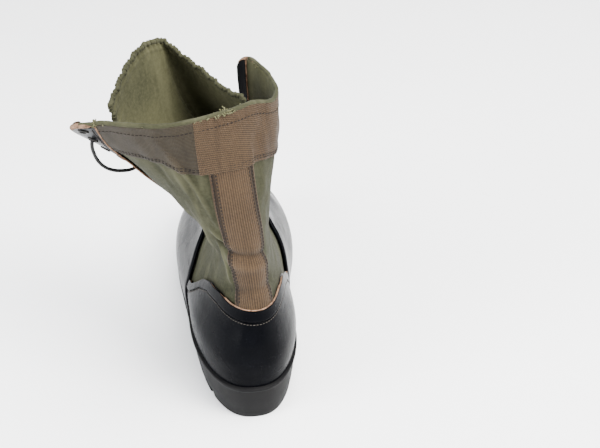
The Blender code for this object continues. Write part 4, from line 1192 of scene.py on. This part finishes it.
def make_laces(material):
    """The lace: crossings between the lower eyelets, short runs behind, and the slack loop."""
    holes, outs = {}, {}
    for side in (LATERAL, MEDIAL):
        holes[side], outs[side] = eyelet_places(side)
    pieces = []
    height = 0.0026
    for pair in range(LACED_PAIRS - 1):
        for side in (LATERAL, MEDIAL):
            start, end = holes[side][pair], holes[-side][pair + 1]
            out_start, out_end = outs[side][pair], outs[-side][pair + 1]
            lift = 0.0012 if side == LATERAL else 0.0040
            middle = (start + end) / 2 + np.array([0.0, 0.0045 + lift, 0.0015])
            route = [start - out_start * 0.0022, start + out_start * height,
                     start * 0.72 + middle * 0.28 + out_start * 0.0022, middle,
                     end * 0.72 + middle * 0.28 + out_end * 0.0022, end + out_end * height,
                     end - out_end * 0.0022]
            path = smooth_route(route, 0.0012)
            pieces.append(tube(f"lace_run_{len(pieces)}", path, LACE_RADIUS, [material], 10))
    start, end = holes[LATERAL][0], holes[MEDIAL][0]
    middle = (start + end) / 2 + np.array([0.0, 0.0060, 0.0])
    route = [start - outs[LATERAL][0] * 0.0022, start + outs[LATERAL][0] * height, middle,
             end + outs[MEDIAL][0] * height, end - outs[MEDIAL][0] * 0.0022]
    pieces.append(tube("lace_bar", smooth_route(route, 0.0012), LACE_RADIUS, [material], 10))
    crossings = join("lace_laid", pieces)
    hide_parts("lace_crossings")
    top, foot = holes[LATERAL][SLACK_TOP - 1], holes[LATERAL][SLACK_FOOT - 1]
    out_top, out_foot = outs[LATERAL][SLACK_TOP - 1], outs[LATERAL][SLACK_FOOT - 1]
    step = np.linspace(0.06, 0.94, 11)[:, None]
    arch = 4 * step * (1 - step)
    hang = top * (1 - step) + foot * step + arch * (np.array(SLACK_SAG) + (out_top + out_foot) * 0.0020)
    hang += (out_top * (1 - step) + out_foot * step) * height
    route = np.concatenate([[top - out_top * 0.0026, top + out_top * 0.0010], hang,
                            [foot + out_foot * 0.0010, foot - out_foot * 0.0026]])
    fine = smooth_route(route, 0.0010)
    loop = tube("lace_slack", fine, LACE_RADIUS, [material], 12)
    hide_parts("lace_loop")


def sole_bottom(along):
    """Height of the uncut underside: flat, then the toe spring."""
    lift = (along - TOE_SPRING_START) / (FOOT_LENGTH - TOE_SPRING_START)
    return TOE_SPRING * np.clip(lift, 0, None) ** 2


def make_outsole(material):
    """The sole: rings from its lip down to the floor, cut by the waist and by slanted grooves."""
    lip = LEATHER_BUILD + SOLE_LIP
    step = lip - LIP_STEP
    thin = LIP_THICKNESS / HEEL_HEIGHT
    rows = [(0.0, lip - 0.0010, lip - 0.0010), (thin * 0.12, lip - 0.0003, lip - 0.0003),
            (thin * 0.35, lip, lip), (thin * 0.75, lip, lip), (thin * 0.95, lip - 0.0004, lip - 0.0004),
            (thin * 1.08, step + 0.0001, step + 0.0001), (thin * 1.3, step, step)]
    knots = np.array([(thin * 1.3, 0.0, 0.0)] + list(WALL_ROWS))
    for depth in np.linspace(thin * 1.3, 0.975, 9)[1:]:
        heel_share = np.interp(depth, knots[:, 0], knots[:, 1])
        fore_share = np.interp(depth, knots[:, 0], knots[:, 2])
        rows.append((depth, step - HEEL_TAPER * heel_share, step - FOREFOOT_TAPER * fore_share))
    rows.append((0.992, step - HEEL_TAPER, step - FOREFOOT_TAPER))
    rows.append((1.0, step - HEEL_TAPER - 0.0005, step - FOREFOOT_TAPER - 0.0005))
    picks = np.unique(np.linspace(0, FINE_STEPS - 1, 121).round().astype(int))
    rings = []
    for depth, heel_grow, fore_grow in rows:
        halves = []
        for side in (LATERAL, MEDIAL):
            heel = closed_half(0, side, heel_grow)[picks]
            fore = closed_half(0, side, fore_grow)[picks]
            along = heel[:, 1] - UPPER_BACK
            blend = ease((along - HEEL_BREAST) / (FOREFOOT_START - HEEL_BREAST))[:, None]
            half = heel * (1 - blend) + fore * blend
            along = np.clip(half[:, 1] - UPPER_BACK, 0, FOOT_LENGTH)
            top = feather_height(along) - CLEARANCE
            half[:, 2] = top + (sole_bottom(along) - top) * depth
            halves.append(half)
        rings.append(np.concatenate([halves[0][::-1], halves[1][1:-1]]))
    rings = np.array(rings)
    depth_count, count = rings.shape[:2]
    faces = ring_quads(depth_count, count)[:, [1, 0, 3, 2]].tolist()
    last = len(picks) - 1
    for row, turned in ((0, False), (depth_count - 1, True)):
        base = row * count
        for k in range(last):
            face = [base + last - k, base + last - k - 1, base + (last + k + 1) % count,
                    base + (last + k) % count]
            face = list(dict.fromkeys(face))
            faces.append(face if turned else face[::-1])
    mesh = bpy.data.meshes.new("rubber_outsole")
    mesh.from_pydata(rings.reshape(-1, 3).tolist(), [], faces)
    work = bmesh.new()
    work.from_mesh(mesh)
    made = outward("rubber_outsole", mesh, work, [material])
    for cutter in (waist_cutter(), groove_cutter()):
        change = made.modifiers.new("cut", "BOOLEAN")
        change.operation = "DIFFERENCE"
        change.solver = "EXACT"
        change.object = cutter
        apply_modifiers(made)
        bpy.data.objects.remove(cutter, do_unlink=True)
    made.data.shade_smooth()
    made.data.set_sharp_from_angle(angle=math.radians(32))
    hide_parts("outsole")


def waist_cutter():
    """The prism that raises the waist between heel and forefoot."""
    rise = float(feather_height(HEEL_BREAST)) - WAIST_THICKNESS
    drop = float(feather_height(FOREFOOT_START)) - WAIST_THICKNESS
    waist = [(HEEL_BREAST, -WAIST_ROUND), (HEEL_BREAST - WAIST_ROUND, rise - WAIST_ROUND),
             (HEEL_BREAST + WAIST_ROUND, rise), (FOREFOOT_START - 3 * WAIST_ROUND, drop),
             (FOREFOOT_START - WAIST_ROUND, drop - WAIST_ROUND), (FOREFOOT_START, -WAIST_ROUND)]
    work = bmesh.new()
    near = [work.verts.new((-BALL_WIDTH, UPPER_BACK + y, z)) for y, z in waist]
    far = [work.verts.new((BALL_WIDTH, UPPER_BACK + y, z)) for y, z in waist]
    work.faces.new(near)
    work.faces.new(far[::-1])
    for k in range(len(waist)):
        j = (k + 1) % len(waist)
        work.faces.new((near[k], far[k], far[j], near[j]))
    return outward("waist_cutter", bpy.data.meshes.new("waist_cutter"), work, [])


def groove_cutter():
    """The slanted boxes between the lugs, which don't meet each other, as one mesh."""
    work = bmesh.new()
    fore = np.arange(FOREFOOT_START + GROOVE_START, FOOT_LENGTH, GROOVE_PITCH)
    heel = HEEL_BREAST - GROOVE_START - GROOVE_PITCH * np.arange(HEEL_GROOVES)
    places = [(along, GROOVE_SLANT) for along in fore] + [(along, HEEL_GROOVE_SLANT) for along in heel]
    for along, slant in places:
        for side in (LATERAL, MEDIAL):
            up = float(sole_bottom(along))
            climb = math.atan2(float(sole_bottom(along + GROOVE_WIDTH)) - up, GROOVE_WIDTH)
            size = Matrix.Diagonal((BALL_WIDTH, GROOVE_WIDTH, GROOVE_DEPTH * 2, 1.0))
            turn = Matrix.Rotation(side * slant, 4, "Z") @ Matrix.Rotation(climb, 4, "X")
            place = Vector((side * (CENTRE_RIB + BALL_WIDTH) / 2, UPPER_BACK + along, up))
            bmesh.ops.create_cube(work, size=1.0, matrix=Matrix.Translation(place) @ turn @ size)
    return outward("groove_cutter", bpy.data.meshes.new("groove_cutter"), work, [])


def outward(name, mesh, work, materials):
    """A closed object from a bmesh, its faces turned outward."""
    bmesh.ops.recalc_face_normals(work, faces=work.faces)
    work.to_mesh(mesh)
    work.free()
    return link(name, mesh, materials)


def apply_modifiers(made):
    """The object's mesh as its modifiers leave it, with the modifiers gone."""
    graph = bpy.context.evaluated_depsgraph_get()
    graph.update()
    mesh = bpy.data.meshes.new_from_object(made.evaluated_get(graph))
    made.modifiers.clear()
    made.data = mesh


def make_stitches(dark, grey, counter_lines, vamp_lines):
    """Every visible row of stitches."""
    top = CLEARANCE + WEBBING
    rows = []
    low = level_at_line(np.array([0.0]), -0.004)[0]
    levels = np.linspace(low, BAND_LEVEL - 0.004, 300)
    for column in (-0.90, -0.72, 0.72, 0.90):
        rows.append((levels, np.full(300, column), top))
    around = np.linspace(-EDGE_COLUMN + 2.1, EDGE_COLUMN - 2.1, 700)
    for level in (band_foot(around) + 0.012, band_foot(around) + 0.020, np.full(700, 0.966)):
        lift = top + WEBBING * 0.3 * ease((1.3 - np.abs(around)) / 0.4) * (level < 0.9)
        rows.append((level, around, lift))
    for column in (-16.25, 16.25):
        rows.append((np.linspace(THROAT_LEVEL + 0.03, 0.98, 300), np.full(300, column), LEATHER_BUILD))
    made = stitches("stitches_dark", rows, dark)
    low_level, high_level, column = counter_lines
    rows = []
    inside = slice(4, -4)
    for share in (0.14, 0.84):
        level = low_level + (high_level - low_level) * share
        rows.append((level[inside], column[inside], LEATHER_BUILD + LEATHER * 0.15))
    level = low_level - 0.008
    rows.append((level[inside], column[inside], LEATHER_BUILD))
    levels, rears = vamp_lines
    keep = (levels > 0.02) & (levels < levels[-1] * 0.93)
    for side in (LATERAL, MEDIAL):
        for inset in (0.35, 0.62):
            rows.append((levels[keep], side * (rears[side][keep] + inset), LEATHER_BUILD))
    made = stitches("stitches_leather", rows, grey, 0.0026, 0.0020, 0.0007)


def make_floor():
    """A plain pale floor, curving up far behind."""
    profile = np.array([(-3.0, 0.0), (-1.5, 0.0), (0.0, 0.0), (1.5, 0.0), (2.6, 0.0), (3.1, 0.09),
                        (3.5, 0.4), (3.7, 0.9), (3.75, 3.0)])
    reach = np.linspace(-4, 4, 5)
    points = np.zeros((len(profile), len(reach), 3))
    points[..., 0] = reach[None]
    points[..., 1] = profile[:, :1]
    points[..., 2] = profile[:, 1:] - 0.0002
    graph = Graph("pale_floor")
    cloud = graph.noise(graph.coords(), 1.2, 2.0)
    colour = graph.mix(cloud, (0.93, 0.935, 0.945), (0.97, 0.97, 0.97))
    floor = grid_mesh("floor", points, [graph.finish(colour, 0.75, Specular_IOR_Level=0.3)])


def make_lights():
    """A bright white surround and three soft rectangular lights, all aimed at one point of the boot."""
    world = bpy.data.worlds.new("surround")
    bpy.context.scene.world = world
    world.use_nodes = True
    world.node_tree.nodes["Background"].inputs[0].default_value = (0.94, 0.97, 1.0, 1.0)
    world.node_tree.nodes["Background"].inputs[1].default_value = 0.72
    for name, place, size, size_y, power, colour in LIGHTS:
        data = bpy.data.lights.new(name, "AREA")
        data.shape = "RECTANGLE"
        data.size = size
        data.size_y = size_y
        data.energy = power
        data.color = colour
        made = bpy.data.objects.new(name, data)
        made.location = place
        aim = Vector((0, 0.05, 0.1)) - Vector(place)
        made.rotation_euler = aim.to_track_quat("-Z", "Y").to_euler()
        bpy.context.scene.collection.objects.link(made)


def make_camera():
    """The photograph's view: from behind, a little to the lateral side and above."""
    yaw, pitch, roll = math.radians(8.19), math.radians(34.0), math.radians(-0.64)
    ahead = Vector((math.sin(yaw) * math.cos(pitch), math.cos(yaw) * math.cos(pitch), -math.sin(pitch)))
    right = Vector((math.cos(yaw), -math.sin(yaw), 0.0))
    up = right.cross(ahead)
    across = math.cos(roll) * right + math.sin(roll) * up
    over = -math.sin(roll) * right + math.cos(roll) * up
    data = bpy.data.cameras.new("camera")
    data.lens = 65.7
    data.sensor_width = 36.0
    made = bpy.data.objects.new("camera", data)
    place = Vector((-0.0550, -0.6878, 0.6315))
    made.matrix_world = Matrix(((across.x, over.x, -ahead.x, place.x), (across.y, over.y, -ahead.y, place.y),
                                (across.z, over.z, -ahead.z, place.z), (0, 0, 0, 1)))
    bpy.context.scene.collection.objects.link(made)
    bpy.context.scene.camera = made


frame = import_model()
make_camera()

FIELD, ARCS = form_field()
grid_level, grid_column = np.meshgrid(np.linspace(0, 1, FIELD_ROWS),
                                      np.linspace(-EDGE_COLUMN, EDGE_COLUMN, FIELD_COLUMNS), indexing="ij")
FIELD = FIELD + corner_shift(grid_level, grid_column)
HEIGHTS = crease_heights(grid_level, grid_column)
HEIGHTS += soft_noise(grid_level, grid_column, 7, (18, 26), 0.0006) * ease((grid_level - 0.2) / 0.2)
FIELD = FIELD + field_normals(FIELD) * HEIGHTS[..., None]
NORMALS = field_normals(FIELD)

canvas = canvas_material("olive_canvas", (0.0100, 0.0105, 0.0050), (0.0235, 0.0234, 0.0120),
                         (0.0620, 0.0605, 0.0345), 0.65)
# The inner face: the same canvas painted about twice as pale, painted light that lifts the shade inside the
# boot.
painted_lit_lining = canvas_material("canvas_lining_painted_lit", (0.0235, 0.0240, 0.0118), (0.0480, 0.0468, 0.0228),
                         (0.1000, 0.0970, 0.0530), 0.35)
binding = canvas_material("pale_edging", (0.0130, 0.0136, 0.0068), (0.0275, 0.0278, 0.0150),
                          (0.0640, 0.0625, 0.0360), 0.6)
band_web = webbing_material("band_webbing", (0.35, 0.94, 0.0), 0.0015, (0.94, -0.35, 0.0), 0.0013,
                            (0.0075, 0.0044, 0.0024), (0.0215, 0.0132, 0.0068), (0.0900, 0.0555, 0.0290))
front_web = webbing_material("front_webbing", (0.0, 1.0, 0.0), 0.0012, (1.0, 0.0, 0.0), 0.0010,
                             (0.0058, 0.0042, 0.0025), (0.0142, 0.0106, 0.0063), (0.0390, 0.0300, 0.0180))
stay_web = webbing_material("stay_webbing", (1.0, 0.0, 0.0), 0.0016, (0.0, 1.0, 0.0), 0.0012,
                            (0.0085, 0.0048, 0.0027), (0.0265, 0.0160, 0.0085), (0.0900, 0.0555, 0.0285),
                            STAY_SEAM)
leather = leather_material("black_leather")
raw_edge = plain_material("raw_leather_edge", (0.058, 0.032, 0.0185), (0.19, 0.115, 0.072), 300.0, 0.85)
web_edge = plain_material("webbing_edge", (0.026, 0.017, 0.010), (0.080, 0.054, 0.031), 400.0, 0.85)
rubber = rubber_material("black_rubber")
dark_thread = plain_material("dark_thread", (0.0035, 0.0024, 0.002), (0.013, 0.010, 0.0075), 600.0, 0.8)
grey_thread = plain_material("grey_thread", (0.016, 0.014, 0.012), (0.050, 0.044, 0.036), 700.0, 0.8)
loose_thread = plain_material("loose_thread", (0.036, 0.035, 0.017), (0.095, 0.092, 0.047), 500.0, 0.9)
lace = plain_material("black_lace", (0.0018, 0.0018, 0.0020), (0.0060, 0.0060, 0.0064), 1500.0, 0.75, 0.8,
                      Specular_IOR_Level=0.3)
metal = plain_material("black_enamel", (0.004, 0.004, 0.004), (0.016, 0.015, 0.013), 500.0, 0.35, 0.2, 0.7)
board = plain_material("insole_board", (0.022, 0.017, 0.011), (0.040, 0.032, 0.021), 120.0, 0.85)

make_upper(canvas, painted_lit_lining)
counter_lines = make_counter(leather, raw_edge)
vamp_lines = make_vamp(leather, leather)
make_webbing(front_web, band_web, stay_web, web_edge)
make_eyestays(leather, raw_edge)
make_eyelets(metal)
make_collar_roll(binding, loose_thread)
make_tongue(canvas, painted_lit_lining, binding)
make_laces(lace)
make_outsole(rubber)
make_stitches(dark_thread, grey_thread, counter_lines, vamp_lines)
insole = frame["nodes"]["insole"]
insole.data.materials.clear()
insole.data.materials.append(board)

for piece in list(bpy.data.objects):
    if piece.type in ("MESH", "CURVE") and piece.name not in frame["nodes"] and piece.name != "floor":
        if piece.parent is None:
            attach(piece, "root")

make_floor()
make_lights()
